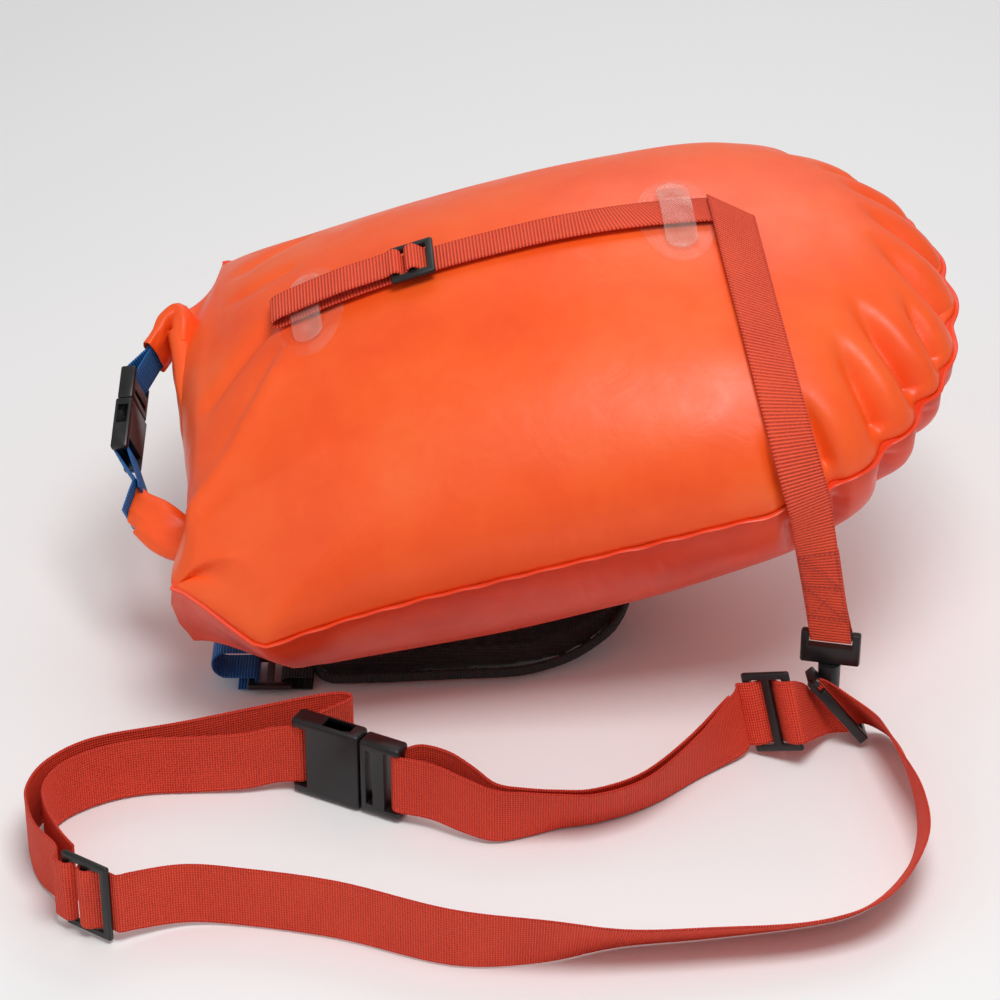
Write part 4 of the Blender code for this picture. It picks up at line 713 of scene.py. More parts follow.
def rollEnd(name, stations, node, body):
    # a flattened sleeve with a hollow tip, where the webbing comes out
    steps, size = rollEndLooks["steps"], rollEndLooks["size"]
    middles = smoothPath([Vector(item[0]) for item in stations], steps)
    wides = smoothPath([Vector(item[1]).normalized() for item in stations], steps)
    sizes = smoothPath([Vector((item[2], item[3], 0)) for item in stations], steps)
    last = len(middles) - 1
    rings = []
    for index, (middle, wide, reach) in enumerate(zip(middles, wides, sizes)):
        way = heading(middles, index).normalized()
        wide = (wide - way * wide.dot(way)).normalized() if index < last - 4 else wide.normalized()
        thin = way.cross(wide).normalized()
        rings.append((middle, wide, thin, reach.x, reach.y, index / last))
    middle, wide, thin, reachX, reachY, share = rings[-1]
    way = (middles[-1] - middles[-3]).normalized()
    rings.append((middle + way * 0.0006, wide, thin, reachX * 0.985, reachY * 0.90, 1))
    for depth, shrink in hollowTip:
        rings.append((middle - way * depth, wide, thin, reachX * (0.9 + 0.1 * shrink), reachY * shrink, 1))
    points, uvs = [], []
    for middle, wide, thin, reachX, reachY, share in rings:
        for k in range(size):
            angle = 2 * math.pi * k / size
            u = boxy(math.cos(angle), rollEndLooks["width"])
            v = boxy(math.sin(angle), rollEndLooks["thickness"])
            point = middle + wide * reachX * u + thin * reachY * v
            crease = ripple(rollEndLooks["crease"], share * 5.0, u * 3.2, v * 1.5 + (2 if body else 7))
            point += thin * v * crease + wide * u * crease / 2
            points.append(rollMatrix @ point)
            uvs.append((share * 0.05, k * 0.002))
    made = addMesh(name, points, tubeFaces(len(rings), size), uvs, 55)
    return dress(made, orangeFilm, body, [node])


upper = rollEnd("rollEndUpper", upperEnd, "roll_end_upper", None)
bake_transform(upper)
rollEnd("rollEndLower", lowerEnd, "roll_end_lower", "buoy")
print("roll made")

# Webbing: a flat closed band that follows rows of edge points.

webbings = {
    "narrow": 0.025, "wide": 0.040, "narrowSheet": 0.0014, "wideSheet": 0.0016,
    "clear": 0.0006, "gap": 0.0003,
}
narrow, narrowSheet, clear = webbings["narrow"], webbings["narrowSheet"], webbings["clear"]
webbingKinds = {
    "red": (narrowSheet, narrow, redWebbing), "blue": (narrowSheet, narrow, blueWebbing),
    "black": (narrowSheet, narrow, blackWebbing),
    "belt": (webbings["wideSheet"], webbings["wide"], beltWebbing),
}
# half of the section, as shares of half the width and of half the thickness: a bead along each edge
webbingEdge = [(-1.0, 0.0), (-0.988, 0.6), (-0.95, 0.95), (-0.90, 1.0), (-0.875, 0.80), (-0.85, 0.92),
               (-0.5, 0.96)]


def webbingBand(name, rows, kind, node, body="buoy", steps=3):
    sheet, width, material = webbingKinds[kind]
    rows = [(Vector(a), Vector(b)) for a, b in rows]
    middles = smoothPath([(a + b) / 2 for a, b in rows], steps)
    halves = smoothPath([(b - a) / 2 for a, b in rows], steps)
    section = webbingEdge + [(0.0, 0.97)] + [(-x, h) for x, h in reversed(webbingEdge)]
    section += [(x, -h) for x, h in reversed(section[1:-1])]
    points, uvs = [], []
    run = 0.0
    for index, (middle, across) in enumerate(zip(middles, halves)):
        normal = across.cross(heading(middles, index)).normalized()
        if index:
            run += (middle - middles[index - 1]).length
        for x, h in section:
            points.append(middle + across * x + normal * (sheet / 2) * h)
            uvs.append((run, x * width / 2))
    made = addMesh(name, points, tubeFaces(len(middles), len(section)), uvs, 60, False)
    print("  ", name, "webbing", round(run, 3), "m long")
    return dress(made, material, body, [node])


def bandRow(middle, half):
    return (middle - half, middle + half)


# Stitching: rows of short thread loops that dip into the webbing at both ends.
threads = {"pitch": 0.0030, "length": 0.0023, "radius": 0.00032, "rings": 5, "sides": 6}


def stitchRows(name, seams, material):
    # each seam is a straight line between two places, and the way out of the cloth
    points, faces = [], []
    rings, sides = threads["rings"], threads["sides"]
    for start, end, out in seams:
        size, way = (end - start).length, (end - start).normalized()
        run = 0.0
        while run <= size:
            middle, side = start.lerp(end, run / size), way.cross(out).normalized()
            faces += tubeFaces(rings, sides, len(points))
            for k in range(rings):
                along = (k / (rings - 1) - 0.5) * threads["length"]
                lift = threads["radius"] * (1.0 - 1.9 * (abs(k - 2) / 2) ** 2)
                fat = threads["radius"] * (1.0 if 0 < k < rings - 1 else 0.55)
                for step in range(sides):
                    angle = 2 * math.pi * step / sides
                    points.append(middle + way * along + out * (lift + fat * math.sin(angle))
                                  + side * fat * math.cos(angle))
            run += threads["pitch"]
    dress(addMesh(name, points, faces), material)


narrowSlider = {"sheet": 0.0014, "bar": 0.0045, "slot": 0.0070, "thickness": 0.0036}
wideSlider = {"sheet": 0.0016, "bar": 0.0050, "slot": 0.0085, "thickness": 0.0038}


def barArc(sizes, middle, turns):
    radius = wrapRadius(sizes["bar"], sizes["thickness"], sizes["sheet"])
    turns = [math.radians(turn) for turn in turns]
    return [(middle + radius * math.cos(turn), radius * math.sin(turn)) for turn in turns]


def sliderReach(sizes):
    return sizes["thickness"] / 2 + webbings["gap"] + sizes["sheet"] / 2


def wrapRadius(bar, depth, sheet):
    return math.hypot(bar, depth) / 2 + webbings["clear"] + sheet / 2


def overMiddleBar(sizes):
    reach = sliderReach(sizes)
    side = sizes["bar"] / 2 + sizes["slot"]
    ends = [(side - webbings["gap"], -reach), (side + 1.5 * sizes["bar"], -reach)]
    return barArc(sizes, 0, (190, 150, 110, 60)) + ends


def overLeftBar(sizes):
    middle = -sizes["bar"] - sizes["slot"]
    return [(middle - 1.5 * sizes["bar"], sliderReach(sizes))] + barArc(sizes, middle, (110, 70, 30, -10))


def behindMiddleBar(sizes):
    reach = sliderReach(sizes)
    side = sizes["bar"] / 2 + sizes["slot"]
    return [(side + 1.5 * sizes["bar"], reach), (side - webbings["gap"], reach),
            (sizes["bar"] / 2 + webbings["gap"], -reach), (webbings["gap"] + sizes["sheet"] / 4, -reach)]


def roundBar(centre, start, toward, radius, half, steps=8):
    rows = []
    for step in range(steps + 1):
        angle = math.pi * step / steps
        middle = centre + start * radius * math.cos(angle) + toward * radius * math.sin(angle)
        rows.append((middle - half, middle + half))
    return rows


# The blue webbing at the two ends of the roll, in the frame of the handle's buckle.

handle = {
    "bar": 0.0040, "thin": 0.0034, "female": -0.0337, "male": 0.0217, "x": -0.0382, "y": 0.0246,
    "turn": math.radians(77.6),
}
handleMatrix = rollMatrix @ frameMatrix((handle["x"], handle["y"], 0), (math.pi / 2, 0, handle["turn"]))


def handlePlace(x, side):
    # a place of the roll's frame, along the handle and off it
    over, up = math.cos(handle["turn"]), math.sin(handle["turn"])
    x, y = x - handle["x"], side - handle["y"]
    return Vector((x * over + y * up, 0, x * up - y * over))


def handleTab(name, barPlace, way, pull, left, right, body, node):
    radius = wrapRadius(handle["bar"], handle["thin"], narrowSheet)
    half = Vector((0, narrow / 2, 0))
    bar = Vector((barPlace, 0, 0))
    pull = (pull - bar).normalized()
    start = pull.cross(Vector((0, -way, 0)))
    first, last = bar + start * radius, bar - start * radius
    rows = [bandRow(p, half) for p in [*left, left[-1].lerp(first, 0.25)]]
    rows += roundBar(bar, start, -pull, radius, half, 10)
    rows += [bandRow(p, half) for p in (last.lerp(right[0], 0.5), *right)]
    webbingBand(name, [(handleMatrix @ a, handleMatrix @ b) for a, b in rows], "blue", node, body)


def handleTabs():
    tipA, tipB = handlePlace(-0.0187, 0.0632), handlePlace(-0.0180, 0.0578)
    middle = (tipA + tipB) / 2
    into = (middle - Vector((handle["male"], 0, 0))).normalized()
    ends = [tipA.lerp(tipB, share) for share in (0.34, 0.70)]
    handleTab("handleTabUpper", handle["male"], 1, middle, [ends[0] + into * 0.006, ends[0] - into * 0.001],
              [ends[1] - into * 0.001, ends[1] + into * 0.006], "roll_clip", "handle_tab_upper")
    far, tip = handlePlace(-0.0486, -0.0564), handlePlace(-0.0383, -0.0329)
    edge = (tip - far).normalized()
    beside = Vector((edge.z, 0, -edge.x)) * 0.0015
    left = [far.lerp(tip, share) + beside for share in (0.10, 0.35, 0.65, 1.0)]
    right = [tip + Vector((0.0006, 0, 0.0008)), tip + edge * -0.0070 + Vector((0, 0, 0.0042))]
    handleTab("handleTabLower", handle["female"], -1, tip, left, right, "buoy", "handle_tab_lower")
    up = handleMatrix.to_3x3() @ Vector((0, 0.0105, 0))
    out = handleMatrix.to_3x3() @ beside.normalized()
    bases = [handleMatrix @ (far.lerp(tip, share) + beside * 1.47) for share in (0.22, 0.46)]
    seams = [(base - up, base + up, out) for base in bases]
    stitchRows("lowerTabStitches", seams, blackThread)


handleTabs()
print("handle tabs made")

# The leash along the front film, its slider and the drop to the swivel hook.

leash = {
    "side": 0.006, "start": 0.099, "sliderPlace": 0.190, "fold": 0.370, "swing": 0.004,
    "patchThickness": 0.0008, "loopThickness": 0.0010, "loopRise": 0.0042,
}


def crownAngle(along, side):
    return math.acos(side / halfWidth(along))


def leashRow(along, lift, slant=0.0):
    row = []
    for half in (0.5, -0.5):
        side = leash["side"] + narrow * half
        place = along + slant * (0.5 - half)
        row.append(bagMatrix @ bagPoint(place, crownAngle(place, side), lift))
    return row


leashLevel = 3 * clear + leash["patchThickness"] + narrowSheet / 2


def leashOnFront():
    middle = leashLevel + sliderReach(narrowSlider)
    top = 4 * clear + leash["patchThickness"] + 1.5 * leash["loopThickness"]
    top += leash["loopRise"] + narrowSheet / 2
    place = leash["sliderPlace"]
    reach = leash["start"] - place
    plan = [(place - narrowSlider["bar"] / 2, leashLevel)]
    plan += [(place + reach * share, leashLevel) for share in (0.2, 0.4, 0.6, 0.8, 0.96)]
    plan += [(leash["start"], (leashLevel + top) / 2)]
    plan += [(place + reach * share, top) for share in (0.96, 0.8, 0.6, 0.45)]
    plan += [(place + along, middle + off) for along, off in overLeftBar(narrowSlider)]
    webbingBand("leashNeckLoop", [leashRow(*p) for p in plan], "red", "leash_neck_loop")
    rows = [leashRow(place + along, middle + off) for along, off in overMiddleBar(narrowSlider)]
    start = place + 3 * (narrowSlider["bar"] + narrowSlider["slot"]) / 2
    for k in range(1, 11):  # it slants over its last half, to the fold
        slant = narrow * max(0, 2 * k / 10 - 1)
        rows.append(leashRow(start + (leash["fold"] - start) * k / 10, leashLevel, slant))
    webbingBand("leashUpper", rows, "red", "leash_upper")


leashOnFront()

swivel = {
    "place": drawn(0.1985, -0.0262, 0.0440), "turn": math.radians(-12), "height": 0.0220,
    "bar": 0.0042, "barThickness": 0.0034,
}


def leashDrop():
    overRim = 0.003 + 2 * clear + narrowSheet / 2
    rows = []
    for step in range(15):
        share = step / 14
        row = []
        for side, place in ((0.5, leash["fold"]), (-0.5, leash["fold"] + narrow)):
            begin = crownAngle(place, leash["side"] + narrow * side)
            angle = begin + (math.pi - begin) * share
            lift = leashLevel + clear + (narrowSheet + clear) * max(0, 1 - 4 * share)
            lift += max(0, overRim - lift) * max(0, 4 * share - 3)
            row.append(bagMatrix @ bagPoint(place + leash["swing"] * share, angle, lift))
        rows.append(row)
    top = (rows[-1][0] + rows[-1][1]) / 2
    half = (rows[-1][1] - rows[-1][0]) / 2
    across = Vector((math.cos(swivel["turn"]), math.sin(swivel["turn"]), 0))
    back = Vector((-across.y, across.x, 0))
    bar = swivel["place"] + Vector((0, 0, swivel["height"] - swivel["bar"] / 2))
    radius = wrapRadius(swivel["bar"], swivel["barThickness"], narrowSheet)
    front = bar - back * radius
    flat = across * narrow / 2
    shares = (0.12, 0.24, 0.36, 0.48, 0.6, 0.72, 0.84, 0.95)
    hanging = [(top.lerp(front, share), half.lerp(flat, min(1, 1.5 * share))) for share in shares]
    rows += [bandRow(*item) for item in hanging]
    rows += roundBar(bar, -back, Vector((0, 0, -1)), radius, flat)
    apart = narrowSheet + 2 * clear
    for (middle, turn), spread in zip(reversed(hanging[2:]), (0.8, 0.3, 0, 0, 0, 0)):
        rows.append(bandRow(middle + back * (apart + (2 * radius - apart) * spread), turn))
    webbingBand("leashDrop", rows, "red", "leash_drop")
    # two sewn boxes with their diagonals hold the leash's end, a little above the swivel
    seams = []
    for low, high in ((2, 4), (4, 6)):
        (lowMiddle, lowHalf), (highMiddle, highHalf) = hanging[high], hanging[low]
        out = (lowHalf.cross(highMiddle - lowMiddle)).normalized()
        out = out if out.y < 0 else -out
        inset, lift = 0.86, out * (narrowSheet / 2)
        a, b = lowMiddle - lowHalf * inset + lift, lowMiddle + lowHalf * inset + lift
        c, d = highMiddle + highHalf * inset + lift, highMiddle - highHalf * inset + lift
        seams += [(*ends, out) for ends in ((a, b), (b, c), (c, d), (d, a), (a, c), (b, d))]
    stitchRows("leashEndStitches", seams, redThread)


leashDrop()
print("leash made")

# The clear weld patches on the front film and the clear straps that hold the leash down.

clears = {
    "neck": 0.120, "far": 0.351, "length": 0.046, "width": 0.092, "strap": 0.019, "reach": 0.070,
    "rings": (0.62, 0.76, 0.88, 0.97), "ringHeight": 0.0005, "ringHalf": 0.018, "sheet": 0.0006,
    "welds": (0.86, 0.80), "weldHalf": 0.02,
}


def clearPatch(name, along, node):
    # a thin oval sheet that follows the film, with rings pressed into it by the welding tool
    points = []
    rounds, steps = 34, 64
    for layer in (1, 0):
        for k in range(rounds + 1):
            share = k / rounds
            ring = sum(math.exp(-((share - place) / clears["ringHalf"]) ** 2) for place in clears["rings"])
            for step in range(steps):
                angle = 2 * math.pi * step / steps
                x = along + clears["length"] / 2 * 1.04 * share * math.cos(angle)
                y = leash["side"] + clears["width"] / 2 * 0.98 * share * math.sin(angle)
                lift = clear * 0.6 + layer * (clears["sheet"] + clears["ringHeight"] * ring)
                lift *= 1 - 0.6 * ease((share - 0.97) / 0.03)
                crown = crownAngle(x, y)
                point = bagPoint(x, crown, lift) + bagNormal(x, crown) * skinOffset(x, crown, True) * 0.8
                points.append(bagMatrix @ point)
    half = (rounds + 1) * steps
    faces = tubeFaces(rounds + 1, steps, caps=(False, False))
    faces += [face[::-1] for face in tubeFaces(rounds + 1, steps, half, (False, False))]
    for step in range(steps):
        a, b = rounds * steps + step, rounds * steps + (step + 1) % steps
        faces.append((a, b, b + half, a + half))
    dress(addMesh(name, points, faces, None, 50), clearFilm, nodes=[node])


def clearStrapOver(name, along, node):
    # a narrow clear strap that arches over the webbing, with round welded ends
    points = []
    count, size = 64, 20
    wide = halfWidth(along)
    level = clear * 2 + leash["patchThickness"] + leash["loopThickness"] / 2
    for k in range(count + 1):
        share = 2 * k / count - 1
        angle = crownAngle(along, leash["side"]) + share * clears["reach"] / 2 / wide
        arch = max(0, math.cos(share * math.pi * 0.62)) ** 0.8
        lift = level + leash["loopRise"] * arch if abs(share) < 0.8 else level
        endRound = math.sqrt(max(0.0, 1 - max(0, (abs(share) - 0.74) / 0.262) ** 2))
        weld = 1
        for place in clears["welds"]:
            weld += 0.5 * math.exp(-((abs(share) - place) / clears["weldHalf"]) ** 2)
        for step in range(size):
            turn = 2 * math.pi * step / size
            u, v = boxy(math.cos(turn), 0.25), boxy(math.sin(turn), 0.6)
            place = along + clears["strap"] / 2 * u * max(0.04, endRound)
            points.append(bagMatrix @ bagPoint(place, angle, lift + leash["loopThickness"] / 2 * v * weld))
    made = addMesh(name, points, tubeFaces(count + 1, size), None, 50)
    dress(made, clearStrap, nodes=[node])


for end in ("neck", "far"):
    clearPatch(end + "Patch", clears[end], "clear_patch_" + end)
    clearStrapOver(end + "Strap", clears[end], "clear_loop_" + end)
print("clear straps made")

# The waist belt, its two three-bar sliders and the buckle between its loops.

beltReach = 0.500
leftSliderSeat = {
    "place": drawn(-0.2280, -0.2310, 0.0257), "run": Vector((0.83, -0.558, 0.0)),
    "up": Vector((0.0, 0.0, 1.0)),
}
rightSliderSeat = {
    "place": drawn(0.1625, -0.0580, 0.0296), "run": Vector((0.83, -0.45, 0.34)),
    "up": Vector((-0.22, 0.30, 0.93)),
}
waistBuckle = {
    "place": drawn(-0.0795, -0.1120, 0.026), "turn": math.radians(-28), "male": 0.027, "female": 0.045,
    "bar": 0.0045, "thickness": 0.014, "thinShare": 0.31,
}
# Stations: the lower edge's place in shares of the belt's reach, and the way that the webbing leans.
# Where no way is given it stands upright.
frontRun = (
    (-0.354, -0.45, 0.004, 0, 0.02, 1), (-0.286, -0.45, 0), (-0.178, -0.474, 0),
    (-0.054, -0.52, 0, 0, -0.04, 1), (0.044, -0.516, 0, 0.02, -0.28, 0.96),
    (0.13, -0.488, 0, 0.06, -0.62, 0.78), (0.222, -0.474, 0, 0.1, -0.68, 0.72),
    (0.336, -0.452, 0, 0.2, -0.72, 0.66), (0.404, -0.426, 0, 0.34, -0.56, 0.75),
    (0.456, -0.368, 0, 0.3, -0.22, 0.92), (0.482, -0.3, 0, 0.02, -0.02, 1),
    (0.492, -0.212, 0, -0.34, -0.02, 0.94), (0.489, -0.15, 0, -0.46, -0.1, 0.88),
    (0.48, -0.1, 0, -0.46, -0.34, 0.82), (0.462, -0.076, 0.004, -0.54, -0.26, 0.8),
    (0.4371, -0.0841, 0.0199, -0.65, 0.1, 0.753), (0.4249, -0.0859, 0.0097, -0.65, 0.1, 0.753),
    (0.396, -0.092, 0.01, -0.44, 0.06, 0.9),
)
rightLoop = (
    (0.288, -0.13, 0.004, -0.16, 0.2, 0.97), (0.238, -0.168, 0, -0.06, -0.26, 0.96),
    (0.176, -0.224, 0, -0.04, -0.48, 0.87), (0.116, -0.256, 0, -0.02, -0.5, 0.87),
    (0.07, -0.268, 0, 0, -0.42, 0.9), (0.032, -0.284, 0, 0, -0.26, 0.96),
    (-0.006, -0.296, 0.002, 0, -0.12, 0.99), (-0.04, -0.288, 0.007, 0, -0.03, 1), (-0.08, -0.268, 0.012),
)
rightBack = (
    (-0.09, -0.23, 0.012), (-0.058, -0.242, 0.01), (-0.03, -0.265, 0.006, 0, -0.02, 1),
    (-0.004, -0.286, 0.003, 0, -0.1, 0.99), (0.03, -0.2785, 0.001, 0, -0.24, 0.96),
    (0.068, -0.262, 0, 0, -0.4, 0.91), (0.112, -0.2485, 0, -0.02, -0.48, 0.88),
    (0.172, -0.216, 0, -0.04, -0.46, 0.88), (0.234, -0.1625, 0, -0.06, -0.24, 0.96),
    (0.284, -0.1265, 0.004, -0.15, 0.14, 0.97),
)
leftOuter = (
    (-0.496, -0.412, 0.004, 0, 0.02, 1), (-0.522, -0.372, 0, 0, 0.02, 1), (-0.536, -0.334, 0),
    (-0.542, -0.292, 0), (-0.524, -0.242, 0), (-0.474, -0.198, 0), (-0.374, -0.166, 0),
    (-0.278, -0.134, 0.002), (-0.216, -0.121, 0.008), (-0.186, -0.119, 0.01), (-0.176, -0.132, 0.012),
    (-0.196, -0.15, 0.012),
)
leftInner = (
    (-0.264, -0.192, 0.01), (-0.304, -0.197, 0.004), (-0.366, -0.198, 0), (-0.418, -0.202, 0),
    (-0.464, -0.218, 0), (-0.506, -0.25, 0), (-0.523, -0.29, 0), (-0.516, -0.332, 0), (-0.496, -0.376, 0),
    (-0.476, -0.41, 0.003),
)


def beltRows(stations, steps=4, before=None, after=None):
    places = []
    for row in stations:
        lean = Vector(row[3:] or (0, 0, 1)).normalized()
        places.append((drawn(*(Vector(row[:3]) * beltReach)), lean))
    if before:
        places.insert(0, (before[0], (before[1] - before[0]).normalized()))
    if after:
        places.append((after[0], (after[1] - after[0]).normalized()))
    low = smoothPath([place for place, lean in places], steps)
    lean = smoothPath([lean for place, lean in places], steps)
    return [(point, point + way.normalized() * webbings["wide"]) for point, way in zip(low, lean)]


def threaded(seat, path, way=1):
    # rows of webbing along a path through a slider, right way round or mirrored
    run = seat["run"].normalized()
    up = (seat["up"] - run * seat["up"].dot(run)).normalized()
    face = run.cross(up)
    half = up * webbings["wide"] / 2
    return [bandRow(seat["place"] + run * along * way + face * off, half) for along, off in path]


def beltLoop(name, start, bar, face, toward, out, back, backSteps, node, body):
    # from a slider out to the buckle's bar, round it and back
    barDepth = waistBuckle["thickness"] * waistBuckle["thinShare"]
    radius = wrapRadius(waistBuckle["bar"], barDepth, webbings["wideSheet"])
    around = roundBar(bar, face, toward, radius, Vector((0, 0, webbings["wide"] / 2)))
    rows = start + beltRows(out, 4, start[-1], around[0])[1:] + around[1:]
    rows += beltRows(back, backSteps, around[-1])[1:]
    return webbingBand(name, rows, "belt", node, body, 2)


def waistBelt():
    start = threaded(leftSliderSeat, overMiddleBar(wideSlider))
    end = threaded(rightSliderSeat, behindMiddleBar(wideSlider))
    rows = start + beltRows(frontRun, 4, start[-1], end[0])[1:] + end[1:]
    webbingBand("beltFront", rows, "belt", "belt_front_run", steps=2)
    run = Vector((math.cos(waistBuckle["turn"]), math.sin(waistBuckle["turn"]), 0))
    face = Vector((run.y, -run.x, 0))
    inset = waistBuckle["bar"] / 2
    start = threaded(rightSliderSeat, behindMiddleBar(wideSlider), -1)[::-1]
    bar = waistBuckle["place"] + run * (waistBuckle["male"] - inset - webbings["gap"])
    right = beltLoop("beltRight", start, bar, face, -run, rightLoop, rightBack, 3, "belt_right_loop", None)
    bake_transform(right)
    start = threaded(leftSliderSeat, overLeftBar(wideSlider))[::-1]
    bar = waistBuckle["place"] - run * (waistBuckle["female"] - inset - webbings["gap"])
    beltLoop("beltLeft", start, bar, -face, run, leftOuter, leftInner, 4, "belt_left_loop", "buoy")


waistBelt()
print("belt made")

# The padded harness under the bag.

harness = {
    "padWidth": 0.058, "padThickness": 0.012, "lockPlace": -0.142, "lockSide": 0.096, "anchorReach": 0.012,
    "adjusterReach": 0.026, "anchorLength": 0.026, "anchorWidth": 0.034, "anchorSheet": 0.0010,
    "clearance": 0.0006, "endRound": 0.016, "crown": 0.36, "columns": 14,
    "swell": 0.0032, "voxel": 0.005, "pressure": 7.0, "swellFrames": 20, "sewnEdge": 0.006, "endReach": 0.002,
    "channels": (0.33, 0.67), "channelReach": 0.009, "channelDepth": 0.0016, "channelHalf": 0.0030,
    "tapeWidth": 0.0020, "tapeHeight": 0.0034, "padLift": 0.0008, "tapeLift": 0.0007,
}
padStations = (
    (-0.118, 0.107, 0.000), (-0.085, 0.108, 0.000), (-0.054, 0.1075, 0.000), (-0.023, 0.1065, 0.000),
    (0.008, 0.1055, 0.000), (0.030, 0.100, 0.001), (0.049, 0.093, 0.005), (0.067, 0.086, 0.015),
    (0.082, 0.081, 0.031),
)
rearFilm = BVHTree.FromPolygons([v.co for v in rearPanel.data.vertices],
                                [tuple(face.vertices) for face in rearPanel.data.polygons])


def underside(x, y):
    # the height of the bag's lower film over a place on the floor
    hit = rearFilm.ray_cast(drawn(x, y, -0.05), Vector((0, 0, 1)))[0]
    return (hit - drawingShift).z if hit else 0.21


def bagMiddle(x):
    # the line on the floor under the middle of the bag
    startX, startY, height = bagSizes["place"]
    return startY + (x - startX) * math.tan(math.radians(bagSizes["turn"][2]))


def padRows(side):
    # pairs of outer and inner edges along the pad's top
    outers, inners = [], []
    top, clearance = harness["padThickness"] + harness["clearance"], harness["clearance"]
    for x, out, rise in padStations:
        outer = bagMiddle(x) + side * out
        inner = outer - side * harness["padWidth"]
        outerTop = min(rise + harness["padThickness"] + clearance, underside(x, outer) - clearance)
        limit = underside(x, inner) - clearance
        outers.append(Vector((x, outer, outerTop)))
        inners.append(Vector((x, inner, max(min(limit, outerTop + harness["padWidth"] / 2), top))))
    return list(zip(smoothPath(outers, 6), smoothPath(inners, 6)))


def padOutline(rows):
    # round ends: the pad narrows over its first and last stretch
    made = []
    run = [0.0]
    for (a, b), (c, d) in zip(rows, rows[1:]):
        run.append(run[-1] + ((c + d) / 2 - (a + b) / 2).length)
    for (a, b), place in zip(rows, run):
        near = min(1, min(place, run[-1] - place) / harness["endRound"])
        share = math.sqrt(max(0.02, 1 - (1 - near) ** 2))
        middle = (a + b) / 2
        made.append((middle + (a - middle) * share, middle + (b - middle) * share))
    return made


def padBody(name, side, node):
    sewn = padOutline(padRows(side))
    rows = list(sewn)
    for end, near in ((0, 1), (-1, -2)):  # the cover reaches into the binding at both ends
        (a, b), (c, d) = sewn[end], sewn[near]
        away = ((a + b) - (c + d)).normalized() * harness["endReach"]
        rows[end] = (a + away, b + away)
    columns, thick = harness["columns"], harness["padThickness"]
    points = []
    for a, b in rows:
        across = (b - a).normalized()
        normal = Vector((0, -across.z, across.y)) if across.y > 0 else Vector((0, across.z, -across.y))
        normal = normal if normal.z > 0 else -normal
        for layer in (1, 0):
            for k in range(columns + 1):
                share = k / columns if layer else 1 - k / columns
                crown = thick * harness["crown"] * math.sqrt(max(0, 1 - (2 * share - 1) ** 4))
                middle = a.lerp(b, 0.02 + 0.96 * share)
                points.append(drawn(*(middle + normal * (-thick / 2 + (crown if layer else -crown)))))
    made = addMesh(name, points, tubeFaces(len(rows), 2 * (columns + 1)))
    swellPad(made, sewn)
    quiltPad(made, rows)
    dress(made, padMesh, nodes=[node])
    bindPad(name + "Binding", sewn)


def applyModifiers(obj):
    graph = bpy.context.evaluated_depsgraph_get()
    mesh = bpy.data.meshes.new_from_object(obj.evaluated_get(graph), depsgraph=graph)
    obj.modifiers.clear()
    obj.data = mesh
    mesh.shade_smooth()


def swellPad(obj, rows):
    # the foam swells the cover: a short cloth run under air pressure, held to a small swell
    remesh = obj.modifiers.new("even", "REMESH")
    remesh.mode = "VOXEL"
    remesh.voxel_size = harness["voxel"]
    applyModifiers(obj)
    rest = [v.co.copy() for v in obj.data.vertices]
    ring = [drawn(*a) for a, b in rows] + [drawn(*b) for a, b in rows]
    edge = obj.vertex_groups.new(name="sewnEdge")
    for vertex in obj.data.vertices:
        near = min((vertex.co.xy - place.xy).length for place in ring)
        if near < harness["sewnEdge"]:
            edge.add([vertex.index], 1 - ease((near - 0.003) / (harness["sewnEdge"] - 0.003)), "REPLACE")
    cloth = obj.modifiers.new("cover", "CLOTH")
    cloth.settings.vertex_group_mass = edge.name
    cloth.settings.use_pressure = True
    cloth.settings.uniform_pressure_force = harness["pressure"]
    cloth.settings.effector_weights.gravity = 0
    cloth.settings.quality = 5
    cloth.point_cache.frame_end = harness["swellFrames"]
    for step in range(harness["swellFrames"]):
        bpy.context.scene.frame_set(step + 1)
    applyModifiers(obj)
    bpy.context.scene.frame_set(1)
    for vertex, start in zip(obj.data.vertices, rest):
        moved = vertex.co - start
        if moved.length > harness["swell"]:
            vertex.co = start + moved.normalized() * harness["swell"]
        vertex.co.z = max(vertex.co.z, harness["padLift"])  # just over the floor
    finer = obj.modifiers.new("finer", "SUBSURF")
    finer.levels = finer.render_levels = 1
    applyModifiers(obj)


def quiltPad(obj, rows):
    # two sewn channels run along the pad
    channels = [[drawn(*a.lerp(b, share)) for a, b in rows] for share in harness["channels"]]
    for vertex in obj.data.vertices:
        best = min((vertex.co.xy - p.xy).length for channel in channels for p in channel[::2])
        if best < harness["channelReach"]:
            sink = harness["channelDepth"] * math.exp(-(best / harness["channelHalf"]) ** 2)
            vertex.co -= vertex.normal * sink
    obj.data.update()


def bindPad(name, rows):
    # folded tape sewn round the pad's edge
    ring = [a for a, b in rows] + [b for a, b in reversed(rows)]
    ring = [drawn(*(p + Vector((0, 0, -harness["padThickness"] / 2)))) for p in ring]
    count, size = len(ring), 12
    points, uvs = [], []
    run = 0.0
    for index, point in enumerate(ring):
        way = (ring[(index + 1) % count] - ring[index - 1]).normalized()
        side = way.cross(Vector((0, 0, 1))).normalized()
        up = side.cross(way)
        if index:
            run += (point - ring[index - 1]).length
        for step in range(size):
            angle = 2 * math.pi * step / size
            u, v = math.cos(angle), boxy(math.sin(angle), 0.7)
            spot = point + side * u * harness["tapeWidth"] + up * v * harness["tapeHeight"]
            spot.z = max(spot.z, harness["tapeLift"])
            points.append(spot)
            uvs.append((run, step * 0.002))
    made = addMesh(name, points, tubeFaces(count, size, 0, (False, False), True), uvs, 60)
    dress(made, blackWebbing)


